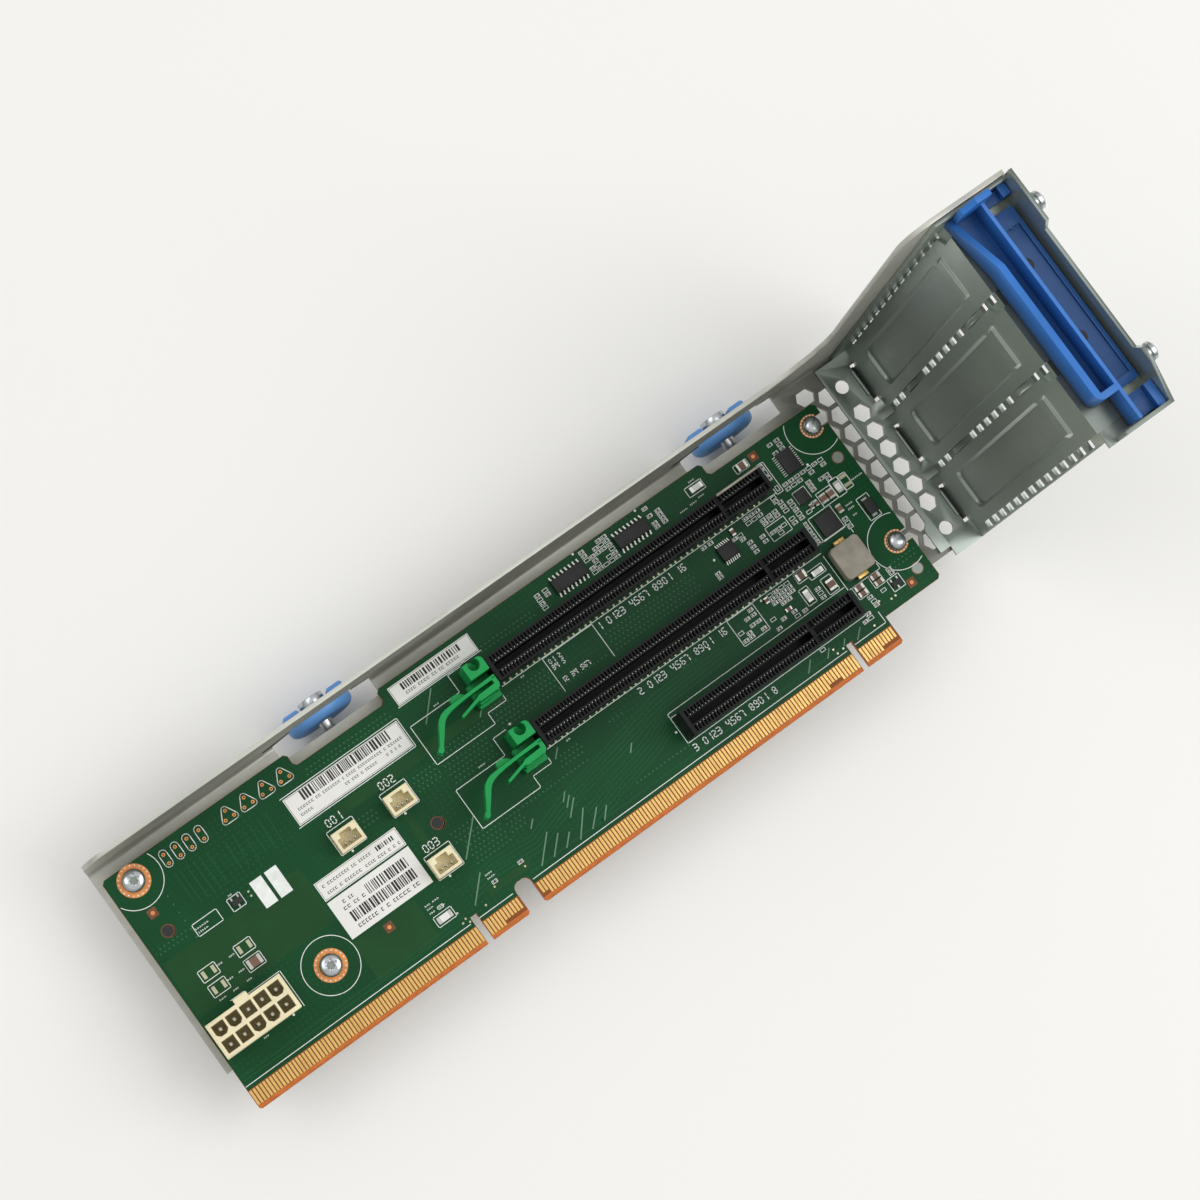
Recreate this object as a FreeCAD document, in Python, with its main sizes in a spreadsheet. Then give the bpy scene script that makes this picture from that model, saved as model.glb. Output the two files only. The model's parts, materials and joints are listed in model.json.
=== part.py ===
"""Server riser: a circuit board with three card sockets, carried by a folded sheet cage.

The board lies flat, sockets up. X runs along the board towards the end bracket, Y runs from the
gold card edge to the top flange, and Z points out of the board. All sizes are in millimetres.
Sketches are drawn from the board's corner at its first gold finger, on its top face. Each sub-part's
Placement then moves it so that the origin is at the middle of the card edge, halfway through the board.
"""

import FreeCAD, Part
import Sketcher
import math
import os

SIZES = [
    # circuit board
    ("board_length", 226.5),
    ("board_top", 70.3),
    ("board_thick", 1.6),
    ("edge_step", 8.2),
    ("tongue_1_end", 84.55),
    ("tongue_gap", 5.0),
    ("tongue_2_in", 18.95),
    ("gap_depth", 8.6),
    ("key_in", 12.5),
    ("key_width", 1.9),
    ("key_depth", 8.2),
    ("relief_depth", 4.1),
    ("relief_half", 14.15),
    ("board_corner", 0.9),
    ("relief_2_half", 12.95),
    ("edge_bevel", 0.5),
    ("tongue_corner", 0.6),
    ("gap_corner", 2.0),
    ("tool_hole", 1.65),
    ("tool_1_x", 7.1),
    ("tool_1_y", 50.3),
    ("tool_2_x", 78.75),
    ("tool_2_y", 32.7),
    # gold fingers
    ("finger_end", 0.6),
    ("finger_key", 1.15),
    ("finger_low", 1.3),
    ("finger_high", 5.45),
    ("finger_short", 2.35),
    ("short_run", 5.85),
    ("finger_thick", 0.04),
    # fixings of the board
    ("screw_1_x", 7.1),
    ("screw_1_down", 4.4),
    ("screw_2_x", 35.2),
    ("screw_2_y", 19.2),
    ("stud_in", 4.2),
    ("stud_1_down", 9.1),
    ("stud_2_y", 22.9),
    ("post_r", 3.0),
    ("screw_r", 1.5),
    ("screw_head_r", 3.1),
    ("screw_head_high", 2.2),
    ("stud_neck", 1.3),
    ("stud_head_r", 2.6),
    ("stud_head_high", 2.0),
    ("hole_clear", 0.2),
    ("thread_clear", 0.05),
    # folded cage
    ("standoff", 5.4),
    ("cage_thick", 1.2),
    ("plate_left", 1.75),
    ("plate_low", 12.3),
    ("plate_short", 2.35),
    ("flange_room", 4.0),
    ("flange_high", 15.3),
    ("flange_corner", 8.0),
    ("wall_past", 5.0),
    ("wall_over", 0.9),
    ("sweep_radius", 20.0),
    ("wall_corner", 8.0),
    ("bend_inner", 1.0),
    ("hex_pitch", 6.0),
    ("hex_web", 1.2),
    ("hex_past", 1.1),
    ("hex_column_y", 20.75),
    ("hex_rows", 8),
    ("mesh_end_down", 5.2),
    ("mesh_end_long", 5.7),
    ("mesh_end_tall", 4.2),
    # latches
    ("latch_1_x", 71.2),
    ("latch_2_in", 22.3),
    ("latch_drop", 4.0),
    ("latch_window", 31.0),
    ("window_deep", 4.8),
    ("arch_high", 8.5),
    ("arch_slope", 6.0),
    ("lip_half", 10.2),
    ("lip_deep", 9.5),
    ("shaft_r", 1.9),
    ("shaft_clear", 0.06),
    ("tip_r", 1.5),
    ("tip_long", 5.8),
    ("tip_gap", 0.5),
    ("knob_r", 9.7),
    ("knob_gap", 1.7),
    ("knob_high", 5.8),
    ("wing_high", 2.0),
    ("wing_wide", 5.0),
    ("wing_long", 6.5),
    ("wing_reach", 9.3),
    ("latch_head_r", 3.7),
    ("latch_head_high", 2.8),
    # end bracket
    ("bracket_thick", 1.0),
    ("foot_past", 7.2),
    ("foot_low", 13.4),
    ("end_past", 17.85),
    ("bracket_low", 10.5),
    ("flange_gap", 0.1),
    ("shelf_z", 109.2),
    ("shelf_deep", 15.05),
    ("fence_rise", 7.4),
    ("lobe_rise", 3.6),
    ("lobe_1_long", 15.6),
    ("lobe_2_long", 15.8),
    ("lobe_ramp", 1.2),
    ("lobe_fall", 5.0),
    ("ear_y", 8.9),
    ("ear_in", 1.65),
    ("ear_rise", 6.8),
    ("cover_room", 0.89),
    ("bay_pitch", 20.32),
    ("bay_open", 12.1),
    ("bay_low", 8.0),
    ("bay_under", 9.2),
    ("vent_pitch", 7.35),
    ("vent_wide", 2.1),
    ("vent_tall", 4.4),
    ("vent_low_in", 1.7),
    ("vent_high_in", 2.2),
    ("vent_start", 2.8),
    ("vent_count", 14),
    ("bar_vent_1", 0.7),
    ("bar_vent_2", 35.7),
    ("bar_vent_3", 96.0),
    ("spring_1", 17.5),
    ("spring_2", 82.0),
    ("spring_tall", 11.5),
    ("spring_wide", 1.5),
    ("spring_out", 1.4),
    ("gusset", 3.2),
    ("gusset_wide", 2.4),
    ("foot_hex_skip", 1),
    ("foot_hex_count", 6),
    ("foot_step", 1.8),
    ("foot_jog", 1.5),
    ("foot_jog_y", 20.9),
    ("foot_hole_in", 3.9),
    ("foot_hole_1_down", 8.7),
    ("foot_hole_2_y", 18.2),
    ("foot_hole_r", 1.95),
    ("slit_wide", 12.2),
    ("slit_thick", 1.6),
    # slot covers
    ("cover_wide", 18.42),
    ("cover_thick", 0.86),
    ("cover_low", 2.4),
    ("tail_wide", 10.2),
    ("tail_tip", 9.8),
    ("tail_taper", 4.0),
    ("tab_long", 9.5),
    ("notch_wide", 2.4),
    ("notch_tall", 6.0),
    ("bead_wide", 11.5),
    ("bead_low", 9.0),
    ("bead_under", 18.2),
    ("bead_deep", 1.0),
    ("bead_slope", 55),
    ("bead_corner", 2.6),
    ("rib_gap", 2.0),
    ("rib_tall", 4.6),
    ("rib_wide", 11.6),
    ("rib_deep", 0.5),
    # card retainer
    ("retainer_gap", 0.4),
    ("retainer_floor", 1.5),
    ("retainer_deep", 8.04),
    ("bar_past", 0.75),
    ("bar_thick", 1.7),
    ("flare_long", 16.0),
    ("bar_flare", 1.8),
    ("bar_round", 2.4),
    ("bar_end", 1.0),
    ("trough_wide", 5.7),
    ("rail_thick", 0.9),
    ("arm_gap", 0.4),
    ("thumb_gap", 0.2),
    ("panel_gap", 1.0),
    ("panel_recess", 0.7),
    ("window_wide", 2.2),
    ("window_web", 2.0),
    ("arm_low_wide", 6.0),
    ("arm_high_wide", 2.8),
    ("pivot_in", 1.4),
    ("pivot_rise", 3.54),
    ("pivot_r", 1.1),
    ("pivot_clear", 0.06),
    ("thumb_thick", 1.6),
    ("thumb_rise", 5.5),
    ("thumb_long", 7.4),
    ("thumb_past", 1.6),
    ("thumb_slope", 3.2),
    # guide studs outside the fence
    ("guide_1_in", 9.3),
    ("guide_2_in", 12.6),
    ("guide_r", 2.4),
    ("guide_out", 2.8),
    # card sockets
    ("socket_in", 25.55),
    ("socket_long", 89.2),
    ("socket_short", 56.2),
    ("socket_wide", 7.3),
    ("socket_high", 11.2),
    ("card_offset", 6.6),
    ("groove_wide", 2.0),
    ("groove_deep", 8.0),
    ("groove_inset", 1.6),
    ("divider_in", 14.55),
    ("divider_wide", 1.1),
    ("divider_drop", 1.2),
    # card clips
    ("clip_gap", 0.3),
    ("clip_high", 12.0),
    ("clip_foot_high", 3.2),
    ("clip_foot_long", 6.9),
    ("clip_foot_low", 6.4),
    ("head_long", 5.9),
    ("head_low", 0.6),
    ("head_high", 5.0),
    ("head_hole_r", 1.6),
    ("head_hole_x", 2.95),
    ("head_hole_lip", 1.3),
    ("lever_floor", 6.0),
    ("lever_top", 1.3),
    ("lever_thick", 1.2),
    ("lever_bend", 16.2),
    ("lever_round", 4.0),
    ("lever_reach", 23.7),
    ("lever_drop", 10.9),
    ("lever_wide", 1.8),
    ("nub_right", 9.2),
    ("nub_long", 3.7),
    ("nub_out", 1.7),
    ("nub_high", 9.0),
    ("prong_top", 3.4),
    ("prong_thick", 1.5),
    ("prong_block", 7.4),
    ("prong_reach", 13.1),
    ("prong_drop", 1.4),
    ("bridge_long", 1.4),
    # power header
    ("header_x", 0.65),
    ("header_y", 14.9),
    ("header_long", 22.4),
    ("header_wide", 10.1),
    ("header_high", 12.8),
    ("header_pitch", 4.2),
    ("header_row", 4.55),
    ("cavity_size", 3.5),
    ("cavity_deep", 10.0),
    ("cavity_cut", 0.9),
    ("latch_wide", 4.0),
    ("latch_out", 1.3),
    ("latch_low", 6.0),
    ("pin_size", 1.05),
    ("pin_high", 9.0),
    # three-way headers
    ("aux_1_x", 57.45),
    ("aux_1_y", 43.2),
    ("aux_2_x", 73.7),
    ("aux_3_y", 23.6),
    ("aux_wide", 7.3),
    ("aux_deep", 5.7),
    ("aux_high", 5.6),
    ("aux_wall", 0.8),
    ("aux_key_wide", 3.4),
    ("aux_key_deep", 1.3),
    ("aux_pitch", 1.5),
    ("aux_pin", 0.5),
    ("aux_pin_high", 4.4),
    # inductor and chips
    ("coil_in", 17.55),
    ("coil_y", 26.25),
    ("coil_wide", 9.2),
    ("coil_long", 9.8),
    ("coil_high", 4.0),
    ("coil_corner", 0.8),
    ("terminal_wide", 3.2),
    ("terminal_out", 1.1),
    ("terminal_high", 2.0),
    ("driver_in", 82.3),
    ("driver_pitch", 20.6),
    ("driver_down", 5.0),
    ("driver_wide", 9.9),
    ("driver_deep", 3.9),
    ("chip_high", 1.55),
    ("clock_in", 15.4),
    ("clock_down", 13.2),
    ("clock_wide", 4.4),
    ("clock_deep", 6.5),
    ("expander_in", 43.4),
    ("expander_y", 46.8),
    ("expander_wide", 5.0),
    ("expander_deep", 4.2),
    ("regulator_in", 16.6),
    ("regulator_y", 37.5),
    ("regulator_size", 5.9),
    ("switch_in", 18.0),
    ("switch_y", 47.2),
    ("switch_size", 3.6),
    ("leadless_high", 0.9),
    ("diode_in", 4.7),
    ("diode_y", 34.6),
    ("diode_wide", 2.7),
    ("diode_deep", 4.3),
    ("diode_high", 2.2),
    # paper labels
    ("label_thick", 0.1),
    ("label_1_x", 43.4),
    ("label_1_y", 33.1),
    ("label_1_wide", 25.4),
    ("label_1_tall", 5.5),
    ("label_2_y", 21.3),
    ("label_2_tall", 11.3),
    ("label_3_x", 49.3),
    ("label_3_down", 17.5),
    ("label_3_wide", 35.9),
    ("label_3_tall", 8.0),
    ("label_4_x", 88.0),
    ("label_4_down", 6.9),
    ("label_4_wide", 25.6),
    ("label_4_tall", 5.5),
]

doc = FreeCAD.newDocument("ServerRiser")
sheet = doc.addObject("Spreadsheet::Sheet", "Sizes")
for row, (alias, number) in enumerate(SIZES, start=1):
    sheet.set(f"A{row}", alias)
    sheet.set(f"B{row}", str(number))
    sheet.setAlias(f"B{row}", alias)
doc.recompute()


class Size:
    """A length with its number and the spreadsheet formula that it comes from."""

    def __init__(self, number, formula):
        self.number = number
        self.formula = formula

    def __add__(self, other):
        other = as_size(other)
        return Size(self.number + other.number, f"({self.formula} + {other.formula})")

    def __sub__(self, other):
        other = as_size(other)
        return Size(self.number - other.number, f"({self.formula} - {other.formula})")

    def __mul__(self, factor):
        factor = as_size(factor)
        return Size(self.number * factor.number, f"({self.formula} * {factor.formula})")

    def __truediv__(self, divisor):
        divisor = as_size(divisor)
        return Size(self.number / divisor.number, f"({self.formula} / {divisor.formula})")

    def __neg__(self):
        return Size(-self.number, f"(0 - {self.formula})")


def as_size(value):
    """Give a plain number the form of a Size."""
    if isinstance(value, Size):
        return value
    return Size(float(value), f"({value!r})")


class Table:
    """Reads each spreadsheet cell by its alias, as a Size."""

    def __getattr__(self, alias):
        return Size(float(sheet.get(alias)), f"Sizes.{alias}")


size = Table()
ZERO = as_size(0)

# Lines along the board and past its right end, and lines across it, that several sub-parts share.
TONGUE_2_END = size.board_length - size.tongue_2_in
KEYS = (size.tongue_1_end - size.key_in, TONGUE_2_END - size.key_in)
STUD_X = size.board_length - size.stud_in
SOCKET_RIGHT = size.board_length - size.socket_in
LATCHES = (size.latch_1_x, size.board_length - size.latch_2_in)
HEX_X = size.board_length + size.hex_past
FOOT_LEFT = size.board_length + size.foot_past
WALL_LEFT = size.board_length + size.wall_past
END_WALL = size.board_length + size.end_past
END_WALL_OUT = END_WALL + size.bracket_thick
COVER_FACE = END_WALL - size.cover_thick
FENCE = END_WALL_OUT + size.shelf_deep
FLANGE_INNER = size.board_top + size.flange_room
FLANGE_OUTER = FLANGE_INNER + size.cage_thick
BRACKET_SIDE = FLANGE_INNER - size.flange_gap
WINDOW_LOW = FLANGE_INNER - size.window_deep
KNOB_LOW = WINDOW_LOW + size.knob_gap
KNOB_RIM = KNOB_LOW + size.knob_high
BAY_1_Y = BRACKET_SIDE - size.bracket_thick - size.cover_room - size.cover_wide / 2
BAYS = tuple(BAY_1_Y - size.bay_pitch * step for step in range(3))
SOCKETS = tuple(bay_y - size.card_offset for bay_y in BAYS)
SCREWS = (
    (size.screw_1_x, size.board_top - size.screw_1_down), (size.screw_2_x, size.screw_2_y),
)
STUDS = ((STUD_X, size.board_top - size.stud_1_down), (STUD_X, size.stud_2_y))
TOOL_HOLES = ((size.tool_1_x, size.tool_1_y), (size.tool_2_x, size.tool_2_y))
FOOT_HOLES = (
    (FOOT_LEFT + size.foot_hole_in, FLANGE_INNER - size.foot_hole_1_down),
    (FOOT_LEFT + size.foot_hole_in, size.foot_hole_2_y),
)

# Levels that several sub-parts share.
BOARD_UNDER = -size.board_thick
PLATE_TOP = BOARD_UNDER - size.standoff
PLATE_UNDER = PLATE_TOP - size.cage_thick
LATCH_Z = PLATE_UNDER - size.latch_drop
FOOT_TOP = PLATE_TOP + size.bracket_thick
SHELF_TOP = size.shelf_z + size.bracket_thick
FENCE_TOP = SHELF_TOP + size.fence_rise
LOBE_TOP = FENCE_TOP + size.lobe_rise
TAB_TOP = SHELF_TOP + size.cover_thick
RETAINER_UNDER = TAB_TOP + size.retainer_gap
RETAINER_TOP = RETAINER_UNDER + size.retainer_deep

# Lines of the card retainer.
BAR_X = END_WALL + size.bar_past
RAIL_X = BAR_X + size.trough_wide
PANEL_EDGE = FENCE - size.panel_gap
PIVOT_X = FENCE - size.pivot_in
RETAINER_LOW = size.ear_y + size.bracket_thick + size.arm_gap
RETAINER_HIGH = BRACKET_SIDE - size.bracket_thick - size.thumb_gap
ARM_LOW = RETAINER_LOW + size.arm_low_wide
ARM_HIGH = RETAINER_HIGH - size.arm_high_wide
BAR_LOW = ARM_LOW + size.window_wide
BAR_BEND = RETAINER_HIGH - size.flare_long

# Where the origin lies in the sketches' frame: mid card edge, halfway through the board.
ORIGIN_X = TONGUE_2_END / 2
ORIGIN_Z = -(size.board_thick / 2)

subparts = []


def bind(item, prop, value):
    """Tie one property of a document object to the spreadsheet."""
    item.setExpression(prop, as_size(value).formula)


def keep(item, label):
    """Name a finished sub-part and move it from the board's corner to the origin."""
    item.Label = label
    bind(item, "Placement.Base.x", -ORIGIN_X)
    bind(item, "Placement.Base.z", -ORIGIN_Z)
    subparts.append(item)
    return item


def new_body(name):
    """Start a body for one sub-part."""
    return doc.addObject("PartDesign::Body", name)


def sketch_on(body, role, offset):
    """Start a sketch on one of the body's origin planes, moved along the plane's normal."""
    plane = next(item for item in body.Origin.OriginFeatures if item.Role == role)
    sketch = body.newObject("Sketcher::SketchObject", f"{body.Name}Sketch")
    sketch.AttachmentSupport = (plane, [""])
    sketch.MapMode = "FlatFace"
    bind(sketch, "AttachmentOffset.Base.z", offset)
    return sketch


def flat_sketch(body, level):
    """A sketch in X and Y at the height level."""
    return sketch_on(body, "XY_Plane", level)


def side_sketch(body, depth):
    """A sketch in X and Z at the Y position depth. Its normal points to -Y."""
    return sketch_on(body, "XZ_Plane", -as_size(depth))


def end_sketch(body, station):
    """A sketch in Y and Z at the X position station. Its normal points to +X."""
    return sketch_on(body, "YZ_Plane", station)


def polygon(sketch, corners):
    """Add a closed outline whose corners are all tied to the spreadsheet."""
    first = sketch.GeometryCount
    count = len(corners)
    places = [FreeCAD.Vector(as_size(across).number, as_size(up).number, 0) for across, up in corners]
    lines = [Part.LineSegment(places[step], places[(step + 1) % count]) for step in range(count)]
    sketch.addGeometry(lines, False)
    rules = []
    for step in range(count):
        rules.append(Sketcher.Constraint("Coincident", first + step, 2, first + (step + 1) % count, 1))
    start = sketch.ConstraintCount + count
    for step, place in enumerate(places):
        rules.append(Sketcher.Constraint("DistanceX", -1, 1, first + step, 1, place.x))
        rules.append(Sketcher.Constraint("DistanceY", -1, 1, first + step, 1, place.y))
    sketch.addConstraint(rules)
    for step, (across, up) in enumerate(corners):
        bind(sketch, f"Constraints[{start + 2 * step}]", across)
        bind(sketch, f"Constraints[{start + 2 * step + 1}]", up)


def rectangle(sketch, left, low, right, high):
    """Add a rectangle between two corners."""
    polygon(sketch, [(left, low), (right, low), (right, high), (left, high)])


def circle(sketch, across, up, radius):
    """Add a circle whose centre and radius are tied to the spreadsheet."""
    across = as_size(across)
    up = as_size(up)
    centre = FreeCAD.Vector(across.number, up.number, 0)
    index = sketch.addGeometry(Part.Circle(centre, FreeCAD.Vector(0, 0, 1), radius.number), False)
    start = sketch.ConstraintCount
    sketch.addConstraint([
        Sketcher.Constraint("DistanceX", -1, 1, index, 3, across.number),
        Sketcher.Constraint("DistanceY", -1, 1, index, 3, up.number),
        Sketcher.Constraint("Radius", index, radius.number),
    ])
    for step, value in enumerate((across, up, radius)):
        bind(sketch, f"Constraints[{start + step}]", value)


def hex_reach(flat):
    """From the middle of a hexagon to a corner; flat is half its width."""
    return flat * (2 / math.sqrt(3))


def hexagon(sketch, across, up, flat):
    """Add a hexagon with two corners along the sketch's first axis; flat is half its width."""
    reach = hex_reach(flat)
    half = reach / 2
    polygon(sketch, [
        (across + reach, up), (across + half, up + flat), (across - half, up + flat),
        (across - reach, up), (across - half, up - flat), (across + half, up - flat),
    ])


def pad(body, sketch, length, backwards=False):
    """Extrude a sketch along its normal, or against it."""
    feature = body.newObject("PartDesign::Pad", f"{body.Name}Pad")
    feature.Profile = sketch
    feature.Reversed = backwards
    bind(feature, "Length", length)
    return feature


def pocket(body, sketch, length, backwards=False):
    """Cut a sketch against its normal, or along it, and make sure that it removed something."""
    before = body_volume(body)
    feature = body.newObject("PartDesign::Pocket", f"{body.Name}Pocket")
    feature.Profile = sketch
    feature.Reversed = backwards
    bind(feature, "Length", length)
    if body_volume(body) >= before:
        raise RuntimeError(f"a pocket of {body.Name} cuts nothing")
    return feature


def body_volume(body):
    """The body's volume after a recompute."""
    doc.recompute()
    return body.Shape.Volume


def pattern(body, feature, role, pitch, count):
    """Repeat a feature along an origin axis."""
    axis = next(item for item in body.Origin.OriginFeatures if item.Role == role)
    rows = body.newObject("PartDesign::LinearPattern", f"{body.Name}Pattern")
    rows.Originals = [feature]
    rows.Direction = (axis, [""])
    bind(rows, "Length", pitch * (count - 1))
    bind(rows, "Occurrences", count)
    body.Tip = rows
    doc.recompute()
    return rows


def straight_edges(shape, direction, places, reach=0.05):
    """Names of the edges along one axis that pass through the given points of the other two axes."""
    across = [axis for axis in range(3) if axis != direction]
    names = []
    for number, edge in enumerate(shape.Edges, start=1):
        ends = [vertex.Point for vertex in edge.Vertexes]
        if len(ends) != 2 or not isinstance(edge.Curve, Part.Line):
            continue
        if any(abs(ends[0][axis] - ends[1][axis]) > reach for axis in across):
            continue
        for place in places:
            if all(abs(ends[0][axis] - as_size(goal).number) < reach for axis, goal in zip(across, place)):
                names.append(f"Edge{number}")
    return names


def dress_edges(body, kind, prop, direction, places, amount):
    """Dress the edges that run along one axis through the given points of the other two axes."""
    doc.recompute()
    base = body.Tip
    names = straight_edges(base.Shape, direction, places)
    if not names:
        raise RuntimeError(f"no edge to dress on {body.Name}")
    feature = body.newObject(f"PartDesign::{kind}", f"{body.Name}{kind}")
    feature.Base = (base, names)
    bind(feature, prop, amount)
    doc.recompute()
    return feature


def round_edges(body, direction, places, radius):
    """Round the edges along one axis through the given points."""
    return dress_edges(body, "Fillet", "Radius", direction, places, radius)


def bevel_edges(body, direction, places, width):
    """Chamfer the edges along one axis through the given points."""
    return dress_edges(body, "Chamfer", "Size", direction, places, width)


def revolve(body, sketch, axis_role):
    """Turn a sketch once round an origin axis."""
    axis = next(item for item in body.Origin.OriginFeatures if item.Role == axis_role)
    feature = body.newObject("PartDesign::Revolution", f"{body.Name}Revolution")
    feature.Profile = sketch
    feature.ReferenceAxis = (axis, [""])
    feature.Angle = 360
    return feature


def block(name, left, low, floor, wide, deep, high):
    """A box from its lowest corner and its three sides."""
    item = doc.addObject("Part::Box", name)
    for prop, value in (("Length", wide), ("Width", deep), ("Height", high)):
        bind(item, prop, value)
    for prop, value in (("x", left), ("y", low), ("z", floor)):
        bind(item, f"Placement.Base.{prop}", value)
    return item


def column(name, across, up, floor, radius, high):
    """An upright cylinder from the middle of its foot."""
    item = doc.addObject("Part::Cylinder", name)
    bind(item, "Radius", radius)
    return stand(item, across, up, floor, high)


def hex_post(name, across, up, floor, flat, high):
    """An upright hexagonal post from the middle of its foot; flat is half its width."""
    item = doc.addObject("Part::Prism", name)
    item.Polygon = 6
    bind(item, "Circumradius", hex_reach(flat))
    return stand(item, across, up, floor, high)


def stand(item, across, up, floor, high):
    """Give an upright primitive its height and its place."""
    bind(item, "Height", high)
    for prop, value in (("x", across), ("y", up), ("z", floor)):
        bind(item, f"Placement.Base.{prop}", value)
    return item


def joined(name, items):
    """Several solids fused into one."""
    item = doc.addObject("Part::MultiFuse", name)
    item.Shapes = items
    return item


def carved(name, base, tool):
    """One solid with another taken away."""
    item = doc.addObject("Part::Cut", name)
    item.Base = base
    item.Tool = tool
    return item


def group(name, items):
    """Separate solids of the same kind kept in one sub-part."""
    item = doc.addObject("Part::Compound", name)
    item.Links = items
    return item


def cage_sheet():
    """One folded sheet: back plate, top flange that sweeps up to the side wall, lips and vent mesh."""
    body = new_body("CageSheet")
    left = -size.plate_left
    plate = flat_sketch(body, PLATE_UNDER)
    rectangle(plate, left, size.plate_low, END_WALL - size.plate_short, FLANGE_OUTER)
    pad(body, plate, size.cage_thick)
    flange = side_sketch(body, FLANGE_OUTER)
    polygon(flange, [
        (left, PLATE_UNDER), (FENCE, PLATE_UNDER), (FENCE, FENCE_TOP + size.wall_over),
        (WALL_LEFT, FENCE_TOP + size.wall_over), (WALL_LEFT, size.flange_high), (left, size.flange_high),
    ])
    pad(body, flange, size.cage_thick)
    round_edges(body, 1, [(WALL_LEFT, size.flange_high)], size.sweep_radius)
    round_edges(body, 1, [(WALL_LEFT, FENCE_TOP + size.wall_over)], size.wall_corner)
    round_edges(body, 1, [(left, size.flange_high)], size.flange_corner)
    round_edges(body, 0, [(FLANGE_INNER, PLATE_TOP)], size.bend_inner)
    for latch_x in LATCHES:
        latch_window(body, latch_x)
    vent_mesh(body)
    return keep(body, "cage_sheet")


def latch_window(body, latch_x):
    """Open the plate and the foot of the flange for one latch, and fold down the lip that carries it."""
    half = size.latch_window / 2
    window = flat_sketch(body, PLATE_TOP + size.bend_inner * 2)
    rectangle(window, latch_x - half, WINDOW_LOW, latch_x + half, FLANGE_INNER + size.bend_inner)
    pocket(body, window, size.cage_thick + size.bend_inner * 2)
    arch = side_sketch(body, FLANGE_OUTER)
    crest = PLATE_TOP + size.arch_high
    spring = crest - size.arch_slope
    polygon(arch, [
        (latch_x - half, PLATE_UNDER), (latch_x + half, PLATE_UNDER), (latch_x + half, spring),
        (latch_x + half - size.arch_slope, crest), (latch_x - half + size.arch_slope, crest),
        (latch_x - half, spring),
    ])
    pocket(body, arch, size.cage_thick + size.bend_inner, backwards=True)
    lip = side_sketch(body, WINDOW_LOW)
    low = PLATE_UNDER - size.lip_deep
    rectangle(lip, latch_x - size.lip_half, low, latch_x + size.lip_half, PLATE_TOP)
    pad(body, lip, size.cage_thick)
    bore = side_sketch(body, WINDOW_LOW)
    circle(bore, latch_x, LATCH_Z, size.shaft_r + size.shaft_clear)
    pocket(body, bore, size.cage_thick, backwards=True)


def hex_columns():
    """X, first Y and row count of the three staggered columns of the vent mesh."""
    stride = size.hex_pitch * (math.sqrt(3) / 2)
    first = size.hex_column_y
    foot_first = first + size.hex_pitch * size.foot_hex_skip
    return (
        (HEX_X, first, size.hex_rows),
        (HEX_X + stride, first - size.hex_pitch / 2, size.hex_rows + 1),
        (HEX_X + stride * 2, foot_first, size.foot_hex_count),
    )


def hex_column(body, level, depth, place):
    """Cut one column of hexagons down through a sheet."""
    across, up, rows = place
    cell = flat_sketch(body, level)
    hexagon(cell, across, up, (size.hex_pitch - size.hex_web) / 2)
    opening = pocket(body, cell, depth)
    pattern(body, opening, "Y_Axis", size.hex_pitch, rows)


def vent_mesh(body):
    """Three staggered hexagon columns through the plate, a long end cell and room for the foot's holes."""
    for place in hex_columns():
        hex_column(body, PLATE_TOP, size.cage_thick, place)
    half = size.mesh_end_long / 2
    rise = size.mesh_end_tall / 2
    slope = rise * math.sqrt(1 / 3)
    end_y = FLANGE_INNER - size.mesh_end_down
    left = HEX_X - half
    right = HEX_X + half
    cells = flat_sketch(body, PLATE_TOP)
    polygon(cells, [
        (left, end_y), (left + slope, end_y - rise), (right - slope, end_y - rise),
        (right, end_y), (right - slope, end_y + rise), (left + slope, end_y + rise),
    ])
    for across, up in FOOT_HOLES:
        hexagon(cells, across, up, (size.hex_pitch - size.hex_web) / 2)
    pocket(body, cells, size.cage_thick)


def end_bracket():
    """Folded end bracket: foot with vent holes, end wall with bars, side flange, shelf, fence and ear."""
    body = new_body("EndBracket")
    high_y = BRACKET_SIDE
    inner = high_y - size.bracket_thick
    jog_x = FOOT_LEFT - size.foot_jog
    foot = flat_sketch(body, PLATE_TOP)
    polygon(foot, [
        (jog_x, size.foot_low), (FOOT_LEFT + size.foot_step, size.foot_low),
        (FOOT_LEFT + size.foot_step, size.bracket_low), (END_WALL_OUT, size.bracket_low),
        (END_WALL_OUT, inner), (FOOT_LEFT, inner),
        (FOOT_LEFT, size.foot_jog_y + size.foot_jog), (jog_x, size.foot_jog_y),
    ])
    pad(body, foot, size.bracket_thick)
    wall = end_sketch(body, END_WALL)
    rectangle(wall, size.bracket_low, PLATE_TOP, high_y, SHELF_TOP)
    pad(body, wall, size.bracket_thick)
    seam = PLATE_TOP + size.bend_inner + size.flange_gap
    side = side_sketch(body, high_y)
    polygon(side, [
        (WALL_LEFT + size.wall_corner, seam), (END_WALL_OUT, seam),
        (END_WALL_OUT, SHELF_TOP), (FENCE, SHELF_TOP),
        (FENCE, FENCE_TOP), (WALL_LEFT + size.wall_corner, FENCE_TOP),
    ])
    pad(body, side, size.bracket_thick)
    shelf = flat_sketch(body, size.shelf_z)
    rectangle(shelf, END_WALL, size.ear_y, FENCE + size.bracket_thick, high_y)
    pad(body, shelf, size.bracket_thick)
    fence(body)
    ear = side_sketch(body, size.ear_y + size.bracket_thick)
    rectangle(ear, END_WALL_OUT + size.ear_in, size.shelf_z, FENCE, SHELF_TOP + size.ear_rise)
    pad(body, ear, size.bracket_thick)
    pivot_holes(body)
    bay_openings(body)
    wall_vents(body)
    foot_holes(body)
    return keep(body, "end_bracket")


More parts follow.
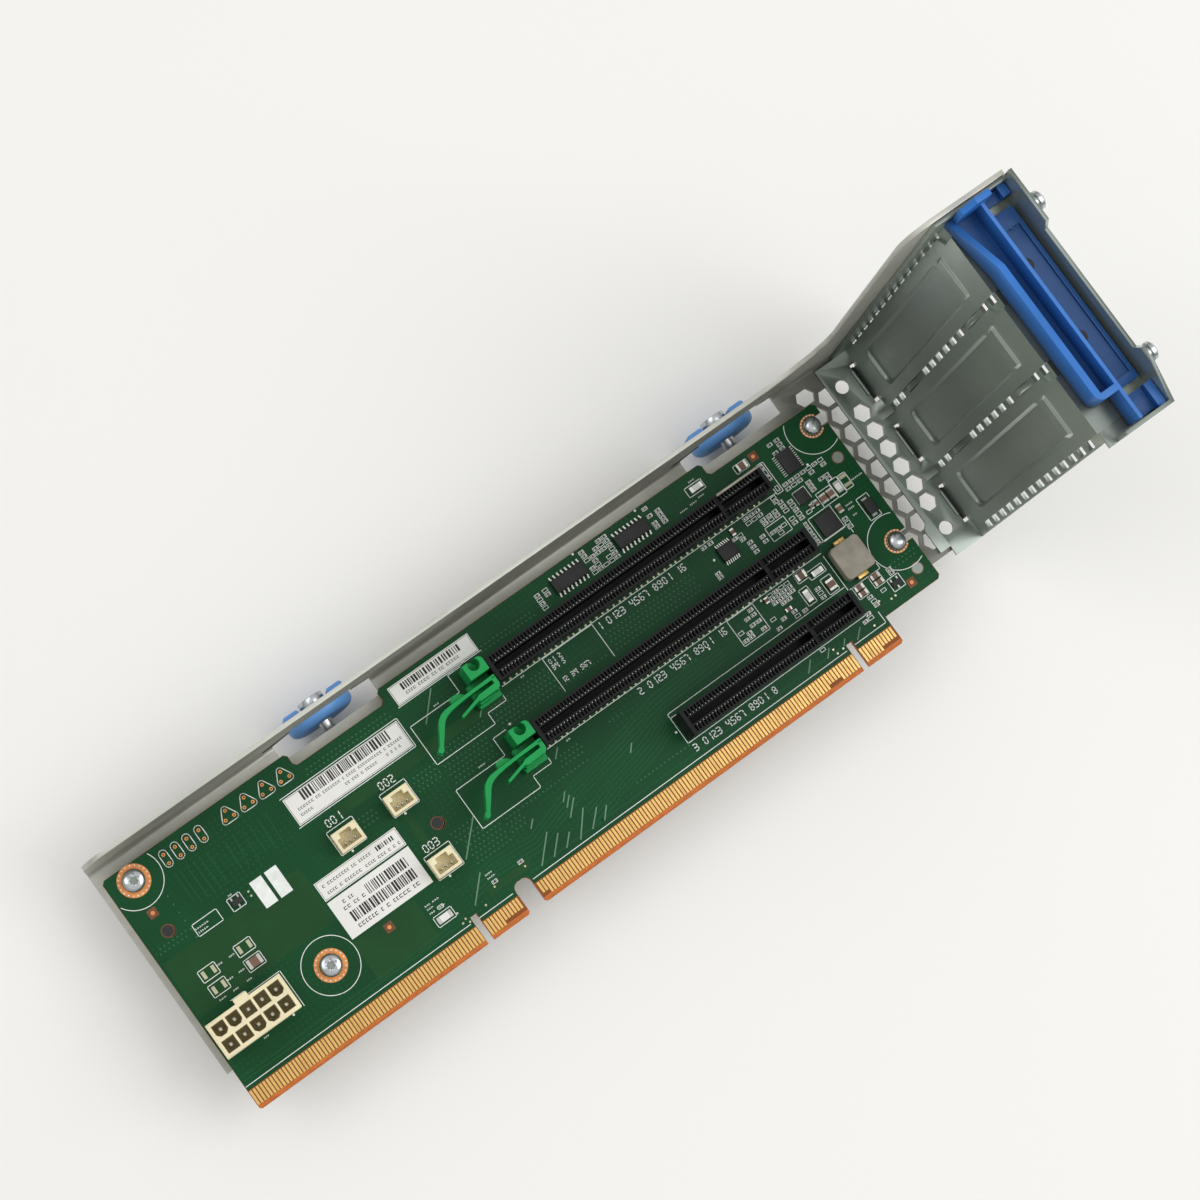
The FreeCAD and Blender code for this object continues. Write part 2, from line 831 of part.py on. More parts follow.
def fence(body):
    """The outer fence of the shelf, with a raised lobe at each end."""
    sketch = end_sketch(body, FENCE)
    low_lobe = size.ear_y + size.lobe_1_long
    high_lobe = BRACKET_SIDE - size.lobe_2_long
    polygon(sketch, [
        (size.ear_y, size.shelf_z), (BRACKET_SIDE, size.shelf_z), (BRACKET_SIDE, LOBE_TOP),
        (high_lobe + size.lobe_ramp, LOBE_TOP), (high_lobe, FENCE_TOP),
        (low_lobe, FENCE_TOP), (low_lobe - size.lobe_ramp, LOBE_TOP),
        (low_lobe - size.lobe_fall, LOBE_TOP), (size.ear_y, LOBE_TOP - size.lobe_fall),
    ])
    pad(body, sketch, size.bracket_thick)


def pivot_holes(body):
    """Bearings for the card retainer in the ear and in the side flange."""
    depth = size.bracket_thick
    for outer in (size.ear_y + depth, BRACKET_SIDE):
        bore = side_sketch(body, outer)
        circle(bore, PIVOT_X, RETAINER_UNDER + size.pivot_rise, size.pivot_r + size.pivot_clear)
        pocket(body, bore, depth, backwards=True)


def bay_openings(body):
    """Three tall slot openings in the end wall, with a slit for each cover's tail at the foot."""
    for bay_y in BAYS:
        half = size.bay_open / 2
        opening = end_sketch(body, END_WALL_OUT)
        rectangle(opening, bay_y - half, size.bay_low, bay_y + half, size.shelf_z - size.bay_under)
        pocket(body, opening, size.bracket_thick)
        slit = flat_sketch(body, FOOT_TOP)
        reach = size.slit_wide / 2
        rectangle(slit, END_WALL - size.slit_thick, bay_y - reach, END_WALL, bay_y + reach)
        pocket(body, slit, size.bracket_thick)


def vent_column(body, middle, start, count):
    """Cut a column of small square holes up the end wall."""
    cell = end_sketch(body, END_WALL_OUT)
    half = size.vent_wide / 2
    rectangle(cell, middle - half, start, middle + half, start + size.vent_tall)
    opening = pocket(body, cell, size.bracket_thick)
    pattern(body, opening, "Z_Axis", size.vent_pitch, count)


def wall_vents(body):
    """Square holes up both edges of the end wall, and in groups up the bars between the openings."""
    for middle in (size.bracket_low + size.vent_low_in, BRACKET_SIDE - size.vent_high_in):
        vent_column(body, middle, size.vent_start, size.vent_count)
    for bay_y in BAYS[:2]:
        bar_y = bay_y - size.bay_pitch / 2
        for start, count in ((size.bar_vent_1, 2), (size.bar_vent_2, 6), (size.bar_vent_3, 2)):
            vent_column(body, bar_y, start, as_size(count))
        for start in (size.spring_1, size.spring_2):
            spring(body, bar_y, start)
        gusset(body, bar_y)


def spring(body, bar_y, start):
    """A contact spring that bows out of a bar between two covers."""
    third = size.spring_tall / 3
    bow = side_sketch(body, bar_y + size.spring_wide / 2)
    crest = END_WALL - size.spring_out
    polygon(bow, [
        (END_WALL, start), (END_WALL, start + size.spring_tall),
        (crest, start + third * 2), (crest, start + third),
    ])
    pad(body, bow, size.spring_wide)


def gusset(body, bar_y):
    """A stiffening dent across the bend between foot and wall."""
    wedge = side_sketch(body, bar_y + size.gusset_wide / 2)
    polygon(wedge, [
        (END_WALL - size.gusset, FOOT_TOP), (END_WALL, FOOT_TOP),
        (END_WALL, FOOT_TOP + size.gusset),
    ])
    pad(body, wedge, size.gusset_wide)


def foot_holes(body):
    """The mesh column that the foot shares with the plate below it, and two round fixing holes."""
    hex_column(body, FOOT_TOP, size.bracket_thick, hex_columns()[2])
    holes = flat_sketch(body, FOOT_TOP)
    for across, up in FOOT_HOLES:
        circle(holes, across, up, size.foot_hole_r)
    pocket(body, holes, size.bracket_thick)


def slot_cover(number, bay_y):
    """A blank slot cover: face with a pressed bead and rib, tapered tail and bent tab."""
    body = new_body(f"SlotCover{number}")
    half = size.cover_wide / 2
    tail = size.tail_wide / 2
    face = end_sketch(body, COVER_FACE)
    notch_y = bay_y + half - size.notch_wide
    polygon(face, [
        (bay_y - tail, -size.tail_tip), (bay_y + tail, -size.tail_tip),
        (bay_y + tail, -size.cover_low), (bay_y + half, size.tail_taper - size.cover_low),
        (bay_y + half, TAB_TOP - size.notch_tall - size.notch_wide), (notch_y, TAB_TOP - size.notch_tall),
        (notch_y, TAB_TOP), (bay_y - half, TAB_TOP),
        (bay_y - half, size.tail_taper - size.cover_low), (bay_y - tail, -size.cover_low),
    ])
    pad(body, face, size.cover_thick)
    tab = flat_sketch(body, SHELF_TOP)
    rectangle(tab, COVER_FACE, bay_y - half, END_WALL_OUT + size.tab_long, notch_y)
    pad(body, tab, size.cover_thick)
    bead_top = size.shelf_z - size.bead_under
    pressing(body, bay_y, bead_top)
    rib = end_sketch(body, COVER_FACE)
    reach = size.rib_wide / 2
    rib_low = bead_top + size.rib_gap
    rectangle(rib, bay_y - reach, rib_low, bay_y + reach, rib_low + size.rib_tall)
    pocket(body, rib, size.rib_deep, backwards=True)
    return keep(body, f"slot_cover_{number}")


def pressing(body, bay_y, top):
    """Press a panel with sloping sides and cut corners through the sheet: raised outside, hollow inside."""
    left = bay_y - size.bead_wide / 2
    right = bay_y + size.bead_wide / 2
    low = size.bead_low
    cut = size.bead_corner
    for station, press in ((END_WALL, pad), (COVER_FACE, pocket)):
        outline = end_sketch(body, station)
        polygon(outline, [
            (left + cut, low), (right - cut, low), (right, low + cut), (right, top - cut),
            (right - cut, top), (left + cut, top), (left, top - cut), (left, low + cut),
        ])
        feature = press(body, outline, size.bead_deep, press is pocket)
        bind(feature, "TaperAngle", -size.bead_slope)


def circuit_board():
    """The board: two keyed tongues with a bevelled edge, reliefs by the latches, holes and open notches."""
    body = new_body("CircuitBoard")
    gap_end = size.tongue_1_end + size.tongue_gap
    corner = size.tongue_corner
    relief = size.board_top - size.relief_depth
    relief_left = LATCHES[0] - size.relief_half
    relief_right = LATCHES[0] + size.relief_half
    drop_x = LATCHES[1] - size.relief_2_half
    outline = flat_sketch(body, BOARD_UNDER)
    polygon(outline, [
        (ZERO, corner), (corner, ZERO), (size.tongue_1_end - corner, ZERO), (size.tongue_1_end, corner),
        (size.tongue_1_end, size.gap_depth), (gap_end, size.gap_depth), (gap_end, corner),
        (gap_end + corner, ZERO), (TONGUE_2_END - corner, ZERO), (TONGUE_2_END, corner),
        (TONGUE_2_END, size.edge_step), (size.board_length, size.edge_step),
        (size.board_length, relief), (drop_x, relief), (drop_x, size.board_top),
        (relief_right, size.board_top), (relief_right, relief), (relief_left, relief),
        (relief_left, size.board_top), (ZERO, size.board_top),
    ])
    pad(body, outline, size.board_thick)
    round_edges(body, 2, [(size.tongue_1_end, size.gap_depth), (gap_end, size.gap_depth)], size.gap_corner)
    bevel_edges(body, 2, [
        (ZERO, size.board_top), (relief_left, size.board_top), (relief_left, relief), (relief_right, relief),
        (relief_right, size.board_top), (drop_x, size.board_top), (drop_x, relief),
        (size.board_length, relief), (size.board_length, size.edge_step),
    ], size.board_corner)
    bevel_edges(body, 0, [(ZERO, ZERO), (ZERO, BOARD_UNDER)], size.edge_bevel)
    for key_x in KEYS:
        key_slot(body, key_x)
    for _, stud_y in STUDS:
        open_notch(body, stud_y)
    holes = flat_sketch(body, ZERO)
    for across, up in SCREWS:
        circle(holes, across, up, size.screw_r + size.hole_clear)
    for across, up in TOOL_HOLES:
        circle(holes, across, up, size.tool_hole)
    pocket(body, holes, size.board_thick)
    return keep(body, "circuit_board")


def key_slot(body, key_x):
    """A key slot in a tongue, open at the card edge."""
    half = size.key_width / 2
    slot = flat_sketch(body, ZERO)
    rectangle(slot, key_x - half, -half, key_x + half, size.key_depth)
    pocket(body, slot, size.board_thick)


def open_notch(body, stud_y):
    """A notch round one stud, open at the board's right edge."""
    half = hex_reach(size.stud_neck) + size.hole_clear
    slot = flat_sketch(body, ZERO)
    rectangle(slot, STUD_X - half, stud_y - half, size.board_length + half, stud_y + half)
    pocket(body, slot, size.board_thick)


def edge_contacts():
    """Gold contact rows of both tongues on the component side: one thin strip on each side of a key."""
    starts = (ZERO, size.tongue_1_end + size.tongue_gap)
    ends = (size.tongue_1_end, TONGUE_2_END)
    strips = []
    for number, (key_x, start, end) in enumerate(zip(KEYS, starts, ends), start=1):
        left = start + size.finger_end
        right = end - size.finger_end
        high = size.finger_high
        step = right - size.short_run
        strips.append(contact_strip(f"LongRow{number}", [
            (left, size.finger_low), (key_x - size.finger_key, size.finger_low),
            (key_x - size.finger_key, high), (left, high),
        ]))
        strips.append(contact_strip(f"ShortRow{number}", [
            (key_x + size.finger_key, size.finger_low), (step, size.finger_low), (step, size.finger_short),
            (right, size.finger_short), (right, high), (key_x + size.finger_key, high),
        ]))
    keep(group("EdgeContacts", strips), "edge_contacts")


def contact_strip(name, corners):
    """One thin strip of plating on the board, from its outline."""
    body = new_body(name)
    outline = flat_sketch(body, ZERO)
    polygon(outline, corners)
    pad(body, outline, size.finger_thick)
    return body


def board_fixings():
    """Screws in hexagonal standoffs at the left, and studs with a hexagonal foot and neck at the right."""
    screws = []
    posts = []
    for number, (across, up) in enumerate(SCREWS, start=1):
        shank = column(f"ScrewShank{number}", across, up, PLATE_TOP, size.screw_r, -PLATE_TOP)
        head = column(f"ScrewHead{number}", across, up, ZERO, size.screw_head_r, size.screw_head_high)
        screws.append(joined(f"Screw{number}", [shank, head]))
        post = hex_post(f"Post{number}", across, up, PLATE_TOP, size.post_r, size.standoff)
        bore_r = size.screw_r + size.thread_clear
        bore = column(f"PostBore{number}", across, up, PLATE_TOP, bore_r, size.standoff)
        posts.append(carved(f"Standoff{number}", post, bore))
    keep(group("BoardScrews", screws), "board_screws")
    keep(group("Standoffs", posts), "standoffs")
    studs = []
    for number, (across, up) in enumerate(STUDS, start=1):
        foot = hex_post(f"StudFoot{number}", across, up, PLATE_TOP, size.post_r, size.standoff)
        neck = hex_post(f"StudNeck{number}", across, up, BOARD_UNDER, size.stud_neck, size.board_thick)
        head = column(f"StudHead{number}", across, up, ZERO, size.stud_head_r, size.stud_head_high)
        studs.append(joined(f"Stud{number}", [foot, neck, head]))
    keep(group("BoardStuds", studs), "board_studs")


def card_socket(number, middle, length):
    """A card socket: a long housing with a deep groove and a key divider."""
    body = new_body(f"CardSocket{number}")
    left = SOCKET_RIGHT - length
    half = size.socket_wide / 2
    housing = flat_sketch(body, ZERO)
    rectangle(housing, left, middle - half, SOCKET_RIGHT, middle + half)
    pad(body, housing, size.socket_high)
    slot = size.groove_wide / 2
    groove = flat_sketch(body, size.socket_high)
    inset = size.groove_inset
    rectangle(groove, left + inset, middle - slot, SOCKET_RIGHT - inset, middle + slot)
    pocket(body, groove, size.groove_deep)
    divider = flat_sketch(body, size.socket_high - size.groove_deep)
    wing = size.divider_wide / 2
    key_x = SOCKET_RIGHT - size.divider_in
    rectangle(divider, key_x - wing, middle - slot, key_x + wing, middle + slot)
    pad(body, divider, size.groove_deep - size.divider_drop)
    return keep(body, f"card_socket_{number}")


def card_clip(number, middle):
    """A one-piece moulded clip at the end of a long socket: foot, hollow head, springy lever and prong."""
    body = new_body(f"CardClip{number}")
    right = SOCKET_RIGHT - size.socket_long - size.clip_gap
    foot = flat_sketch(body, ZERO)
    head_left = right - size.head_long
    head_high = middle + size.head_high
    rectangle(foot, right - size.clip_foot_long, middle - size.clip_foot_low, right, head_high)
    pad(body, foot, size.clip_foot_high)
    head = flat_sketch(body, ZERO)
    rectangle(head, head_left, middle + size.head_low, right, head_high)
    pad(body, head, size.clip_high)
    hole = flat_sketch(body, size.clip_high)
    circle(hole, head_left + size.head_hole_x, head_high - size.head_hole_lip, size.head_hole_r)
    pocket(body, hole, size.clip_high - size.clip_foot_high)
    clip_lever(body, right, middle)
    clip_prong(body, right, middle)
    return keep(body, f"card_clip_{number}")


def clip_lever(body, right, middle):
    """The long lever: a straight arm, a rounded bend and a slanting finger piece, with a nub on its side."""
    arm_top = middle - size.lever_top
    arm_low = arm_top - size.lever_thick
    bend_x = right - size.lever_bend
    tip_x = right - size.lever_reach
    tip_y = middle - size.lever_drop
    bend = (bend_x - size.lever_thick, arm_top)
    elbow = (bend_x + size.lever_thick / 2, arm_low - size.lever_wide)
    toe = (tip_x, tip_y + size.lever_wide)
    heel = (tip_x + size.lever_thick, tip_y)
    lever = flat_sketch(body, size.lever_floor)
    polygon(lever, [
        (right, arm_low), (right, arm_top), bend, toe, heel, elbow, (bend_x + size.lever_wide * 3, arm_low),
    ])
    height = size.clip_high - size.lever_floor
    pad(body, lever, height)
    round_edges(body, 2, [bend], size.lever_round)
    round_edges(body, 2, [elbow], size.lever_round / 2)
    nub = flat_sketch(body, size.lever_floor)
    nub_right = right - size.nub_right
    nub_top = arm_top + size.nub_out
    polygon(nub, [
        (nub_right - size.nub_long, arm_low), (nub_right, arm_low), (nub_right, arm_top),
        (nub_right - size.nub_long / 2, nub_top), (nub_right - size.nub_long, nub_top),
    ])
    pad(body, nub, size.nub_high - size.lever_floor)


def clip_prong(body, right, middle):
    """The short prong below the lever, on a block that a bridge joins to the lever."""
    top = middle - size.prong_top
    low = top - size.prong_thick
    block_left = right - size.prong_block
    base = flat_sketch(body, ZERO)
    rectangle(base, block_left, low, right, top)
    pad(body, base, size.clip_high)
    bridge = flat_sketch(body, size.lever_floor)
    rectangle(bridge, right - size.bridge_long, top, right, middle - size.lever_top)
    pad(body, bridge, size.clip_high - size.lever_floor)
    prong = flat_sketch(body, size.lever_floor)
    end_x = right - size.prong_reach
    polygon(prong, [
        (block_left, low), (block_left, top), (end_x, top - size.prong_drop), (end_x, low - size.prong_drop),
    ])
    pad(body, prong, size.clip_high - size.lever_floor)


def power_header():
    """A ten-way power header with a latch ramp, and its pins."""
    body = new_body("PowerHeader")
    right = size.header_x + size.header_long
    high = size.header_y + size.header_wide
    shell = flat_sketch(body, ZERO)
    rectangle(shell, size.header_x, size.header_y, right, high)
    pad(body, shell, size.header_high)
    middle = size.header_x + size.header_long / 2
    ramp = flat_sketch(body, size.latch_low)
    rectangle(ramp, middle - size.latch_wide / 2, high, middle + size.latch_wide / 2, high + size.latch_out)
    pad(body, ramp, size.header_high - size.latch_low)
    cavities = flat_sketch(body, size.header_high)
    for row, round_columns in ((1, (0, 1, 4)), (-1, (2, 3))):
        for step in range(5):
            across = middle + size.header_pitch * (step - 2)
            up = size.header_y + size.header_wide / 2 + size.header_row * (row / 2)
            cavity(cavities, across, up, step in round_columns)
    pocket(body, cavities, size.cavity_deep)
    keep(body, "power_header")
    pins = []
    floor = size.header_high - size.cavity_deep
    for row in (1, -1):
        for step in range(5):
            across = middle + size.header_pitch * (step - 2) - size.pin_size / 2
            up = size.header_y + size.header_wide / 2 + size.header_row * (row / 2) - size.pin_size / 2
            name = f"PowerPin{len(pins) + 1}"
            pins.append(block(name, across, up, floor, size.pin_size, size.pin_size, size.pin_high - floor))
    keep(group("PowerPins", pins), "power_pins")


def cavity(sketch, across, up, keyed):
    """One contact cavity: square, or with its two lower corners cut where it is keyed."""
    half = size.cavity_size / 2
    if not keyed:
        rectangle(sketch, across - half, up - half, across + half, up + half)
        return
    cut = size.cavity_cut
    polygon(sketch, [
        (across - half + cut, up - half), (across + half - cut, up - half), (across + half, up - half + cut),
        (across + half, up + half), (across - half, up + half), (across - half, up - half + cut),
    ])


def aux_headers():
    """Three small three-way headers with a keyed mouth, and their pins."""
    places = (
        (size.aux_1_x, size.aux_1_y), (size.aux_2_x, size.aux_1_y), (size.aux_2_x, size.aux_3_y),
    )
    pins = []
    for number, (across, up) in enumerate(places, start=1):
        body = new_body(f"AuxHeader{number}")
        wide = size.aux_wide / 2
        deep = size.aux_deep / 2
        wall = size.aux_wall
        shell = flat_sketch(body, ZERO)
        rectangle(shell, across - wide, up - deep, across + wide, up + deep)
        pad(body, shell, size.aux_high)
        key = size.aux_key_wide / 2
        top = up + deep - wall - size.aux_key_deep
        mouth = flat_sketch(body, size.aux_high)
        polygon(mouth, [
            (across - wide + wall, up - deep + wall), (across + wide - wall, up - deep + wall),
            (across + wide - wall, top), (across + key, top), (across + key, up + deep - wall),
            (across - key, up + deep - wall), (across - key, top), (across - wide + wall, top),
        ])
        pocket(body, mouth, size.aux_high - wall)
        keep(body, f"aux_header_{number}")
        for step in (-1, 0, 1):
            left = across + size.aux_pitch * step - size.aux_pin / 2
            low = up - deep + wall * 2
            name = f"AuxPin{len(pins) + 1}"
            pins.append(block(name, left, low, wall, size.aux_pin, size.aux_pin, size.aux_pin_high - wall))
    keep(group("AuxPins", pins), "aux_pins")


def power_inductor():
    """A square moulded inductor with a terminal on two opposite sides."""
    left = size.board_length - size.coil_in - size.coil_wide / 2
    low = size.coil_y - size.coil_long / 2
    body = new_body("PowerInductor")
    core = flat_sketch(body, ZERO)
    rectangle(core, left, low, left + size.coil_wide, low + size.coil_long)
    pad(body, core, size.coil_high)
    right = left + size.coil_wide
    high = low + size.coil_long
    bevel_edges(body, 2, [(left, low), (right, low), (right, high), (left, high)], size.coil_corner)
    keep(body, "power_inductor")
    start = left + size.coil_wide / 2 - size.terminal_wide / 2
    ends = []
    for number, foot in enumerate((low - size.terminal_out, low + size.coil_long), start=1):
        name = f"Terminal{number}"
        ends.append(block(name, start, foot, ZERO, size.terminal_wide, size.terminal_out, size.terminal_high))
    keep(group("InductorTerminals", ends), "inductor_terminals")


def chip(name, across, up, wide, deep, high):
    """A flat chip body on the board, from its middle."""
    return block(name, across - wide / 2, up - deep / 2, ZERO, wide, deep, high)


def chips():
    """Chip bodies; their leads are surface detail."""
    drivers = []
    first = size.board_length - size.driver_in
    for number, across in enumerate((first, first + size.driver_pitch), start=1):
        up = size.board_top - size.driver_down
        name = f"Driver{number}"
        drivers.append(chip(name, across, up, size.driver_wide, size.driver_deep, size.chip_high))
    keep(group("DriverChips", drivers), "driver_chips")
    single = (
        ("clock_chip", size.clock_in, size.board_top - size.clock_down, size.clock_wide, size.clock_deep,
         size.chip_high),
        ("expander_chip", size.expander_in, size.expander_y, size.expander_wide, size.expander_deep,
         size.chip_high),
        ("regulator_chip", size.regulator_in, size.regulator_y, size.regulator_size, size.regulator_size,
         size.leadless_high),
        ("switch_chip", size.switch_in, size.switch_y, size.switch_size, size.switch_size,
         size.leadless_high),
        ("power_diode", size.diode_in, size.diode_y, size.diode_wide, size.diode_deep, size.diode_high),
    )
    for label, inset, up, wide, deep, high in single:
        name = label.title().replace("_", "")
        body = chip(f"{name}Body", size.board_length - inset, up, wide, deep, high)
        keep(group(name, [body]), label)


def labels():
    """Four blank paper labels on the board."""
    places = (
        (size.label_1_x, size.label_1_y, size.label_1_wide, size.label_1_tall),
        (size.label_1_x, size.label_2_y, size.label_1_wide, size.label_2_tall),
        (size.label_3_x, size.board_top - size.label_3_down, size.label_3_wide, size.label_3_tall),
        (size.label_4_x, size.board_top - size.label_4_down, size.label_4_wide, size.label_4_tall),
    )
    for number, (left, low, wide, tall) in enumerate(places, start=1):
        paper = block(f"Paper{number}", left, low, ZERO, wide, tall, size.label_thick)
        keep(group(f"Label{number}", [paper]), f"label_{number}")


def card_retainer():
    """The hinged retainer: a two-walled trough over the cover tabs, a panel, arms, pivots and a thumb tab."""
    body = new_body("CardRetainer")
    flare_x = BAR_X - size.bar_flare
    floor = flat_sketch(body, RETAINER_UNDER)
    polygon(floor, [
        (BAR_X, BAR_LOW), (PANEL_EDGE, BAR_LOW), (PANEL_EDGE, ARM_HIGH - size.window_wide),
        (RAIL_X + size.window_web, ARM_HIGH - size.window_wide), (RAIL_X + size.window_web, ARM_HIGH),
        (PANEL_EDGE, ARM_HIGH), (PANEL_EDGE, RETAINER_HIGH), (flare_x, RETAINER_HIGH), (BAR_X, BAR_BEND),
    ])
    pad(body, floor, size.retainer_floor)
    arm = flat_sketch(body, RETAINER_UNDER)
    rectangle(arm, RAIL_X, RETAINER_LOW, PANEL_EDGE, ARM_LOW)
    pad(body, arm, size.retainer_floor)
    walls_high = RETAINER_TOP - RETAINER_UNDER
    trough_walls(body, flare_x, walls_high)
    rail = flat_sketch(body, RETAINER_UNDER)
    rectangle(rail, RAIL_X, RETAINER_LOW, RAIL_X + size.rail_thick, RETAINER_HIGH)
    pad(body, rail, walls_high)
    thumb = side_sketch(body, RETAINER_HIGH)
    thumb_right = RAIL_X + size.thumb_past
    thumb_left = thumb_right - size.thumb_long
    thumb_top = RETAINER_TOP + size.thumb_rise
    polygon(thumb, [
        (thumb_left, RETAINER_UNDER), (thumb_right, RETAINER_UNDER), (thumb_right, thumb_top),
        (thumb_left + size.thumb_slope, thumb_top), (thumb_left, thumb_top - size.thumb_slope),
    ])
    pad(body, thumb, size.thumb_thick)
    recess = flat_sketch(body, RETAINER_UNDER + size.retainer_floor)
    margin = size.window_wide
    rectangle(
        recess, RAIL_X + size.rail_thick + margin / 2, BAR_LOW + margin,
        PANEL_EDGE - margin / 2, ARM_HIGH - margin * 3,
    )
    pocket(body, recess, size.panel_recess)
    pivots(body)
    return keep(body, "card_retainer")


def trough_walls(body, flare_x, high):
    """The bar of the trough: it turns a round corner at one end, and flares and ramps down at the other."""
    bar = flat_sketch(body, RETAINER_UNDER)
    inner = BAR_X + size.bar_thick
    flare_in = flare_x + size.bar_thick
    polygon(bar, [
        (BAR_X, BAR_LOW), (RAIL_X, BAR_LOW), (RAIL_X, BAR_LOW + size.bar_thick),
        (inner, BAR_LOW + size.bar_thick), (inner, BAR_BEND), (flare_in, RETAINER_HIGH),
        (flare_x, RETAINER_HIGH), (BAR_X, BAR_BEND),
    ])
    pad(body, bar, high)
    round_edges(body, 2, [(BAR_X, BAR_LOW)], size.bar_round)
    ramp = end_sketch(body, flare_x)
    polygon(ramp, [
        (BAR_BEND, RETAINER_TOP), (RETAINER_HIGH, RETAINER_UNDER + size.retainer_floor + size.bar_end),
        (RETAINER_HIGH, RETAINER_TOP),
    ])
    pocket(body, ramp, RAIL_X - flare_x, backwards=True)


def pivots(body):
    """Pivot pins of the retainer, from its arms into the ear and the side flange."""
    rise = RETAINER_UNDER + size.pivot_rise
    depth = size.bracket_thick
    boss = size.pivot_rise + size.pivot_r / 2
    for start, end, low, high in (
        (RETAINER_LOW, size.ear_y, RETAINER_LOW, ARM_LOW),
        (RETAINER_HIGH, BRACKET_SIDE, ARM_HIGH, RETAINER_HIGH),
    ):
        lug = flat_sketch(body, RETAINER_UNDER)
        rectangle(lug, PIVOT_X - size.pivot_r, low, PIVOT_X + size.pivot_r, high)
        pad(body, lug, boss)
        outward = end.number < start.number
        pin = side_sketch(body, start)
        circle(pin, PIVOT_X, rise, size.pivot_r)
        pad(body, pin, (start - end) if outward else (end - start), backwards=not outward)


def latch(number, latch_x):
    """One latch: a metal stud turning in the lip, with a head, and a blue thumb knob on it."""
    stud = new_body(f"LatchStud{number}")
    shoulder = WINDOW_LOW - size.cage_thick - size.tip_gap
    head_top = KNOB_RIM + size.latch_head_high
    outline = flat_sketch(stud, ZERO)
    polygon(outline, [
        (ZERO, shoulder - size.tip_long), (size.tip_r, shoulder - size.tip_long), (size.tip_r, shoulder),
        (size.shaft_r, shoulder), (size.shaft_r, KNOB_RIM),
        (size.latch_head_r, KNOB_RIM), (size.latch_head_r, head_top), (ZERO, head_top),
    ])
    revolve(stud, outline, "Y_Axis")
    keep(stud, f"latch_stud_{number}")
    knob = new_body(f"LatchKnob{number}")
    profile = flat_sketch(knob, ZERO)
    polygon(profile, [
        (size.shaft_r, KNOB_LOW), (size.knob_r, KNOB_LOW), (size.knob_r, KNOB_RIM), (size.shaft_r, KNOB_RIM),
    ])
    revolve(knob, profile, "Y_Axis")
    wings = side_sketch(knob, KNOB_RIM)
    inner = size.wing_reach - size.wing_wide
    rise = size.wing_long / 2
    rectangle(wings, inner, -rise, size.wing_reach, rise)
    rectangle(wings, -size.wing_reach, -rise, -inner, rise)
    pad(knob, wings, size.wing_high, backwards=True)
    keep(knob, f"latch_knob_{number}")
    for item in (stud, knob):
        bind(item, "Placement.Base.x", latch_x - ORIGIN_X)
        bind(item, "Placement.Base.z", LATCH_Z - ORIGIN_Z)


def guide_studs():
    """Two studs that stand out from the fence and locate the cage."""
    studs = []
    for number, up in enumerate((BRACKET_SIDE - size.guide_1_in, size.ear_y + size.guide_2_in), start=1):
        stud = doc.addObject("Part::Cylinder", f"GuideStud{number}")
        bind(stud, "Radius", size.guide_r)
        bind(stud, "Height", size.guide_out)
        stud.Placement.Rotation = FreeCAD.Rotation(FreeCAD.Vector(0, 1, 0), 90)
        bind(stud, "Placement.Base.x", FENCE + size.bracket_thick)
        bind(stud, "Placement.Base.y", up)
        bind(stud, "Placement.Base.z", FENCE_TOP)
        studs.append(stud)
    keep(group("GuideStuds", studs), "guide_studs")


def build():
    """Make every sub-part."""
    cage_sheet()
    end_bracket()
    for number, bay_y in enumerate(BAYS, start=1):
        slot_cover(number, bay_y)
    guide_studs()
    circuit_board()
    edge_contacts()
    board_fixings()
    lengths = (size.socket_long, size.socket_long, size.socket_short)
    for number, (middle, length) in enumerate(zip(SOCKETS, lengths), start=1):
        card_socket(number, middle, length)
    for number in (1, 2):
        card_clip(number, SOCKETS[number - 1])
    power_header()
    aux_headers()
    power_inductor()
    chips()
    labels()
    card_retainer()
    for number, latch_x in enumerate(LATCHES, start=1):
        latch(number, latch_x)
    doc.recompute()


def write():
    """Check the whole document, then write one file for each sub-part."""
    for item in doc.Objects:
        if "Invalid" in item.State or "Error" in item.State:
            raise RuntimeError(f"{item.Name} failed: {item.State}")
    for item in subparts:
        if item.Shape.isNull() or not item.Shape.isValid() or not item.Shape.Solids:
            raise RuntimeError(f"{item.Label} has no valid shape")
    os.makedirs("parts", exist_ok=True)
    for item in subparts:
        item.Shape.exportStep(f"parts/{item.Label}.step")


build()
write()
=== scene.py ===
"""Looks of a server riser: finishes, board detail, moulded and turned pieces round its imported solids.

Sizes are written in millimetres, and MM turns them into metres. Places on the board are counted from its
corner at the first gold finger: along the card edge, across towards the flange, and up from its top face.
"""

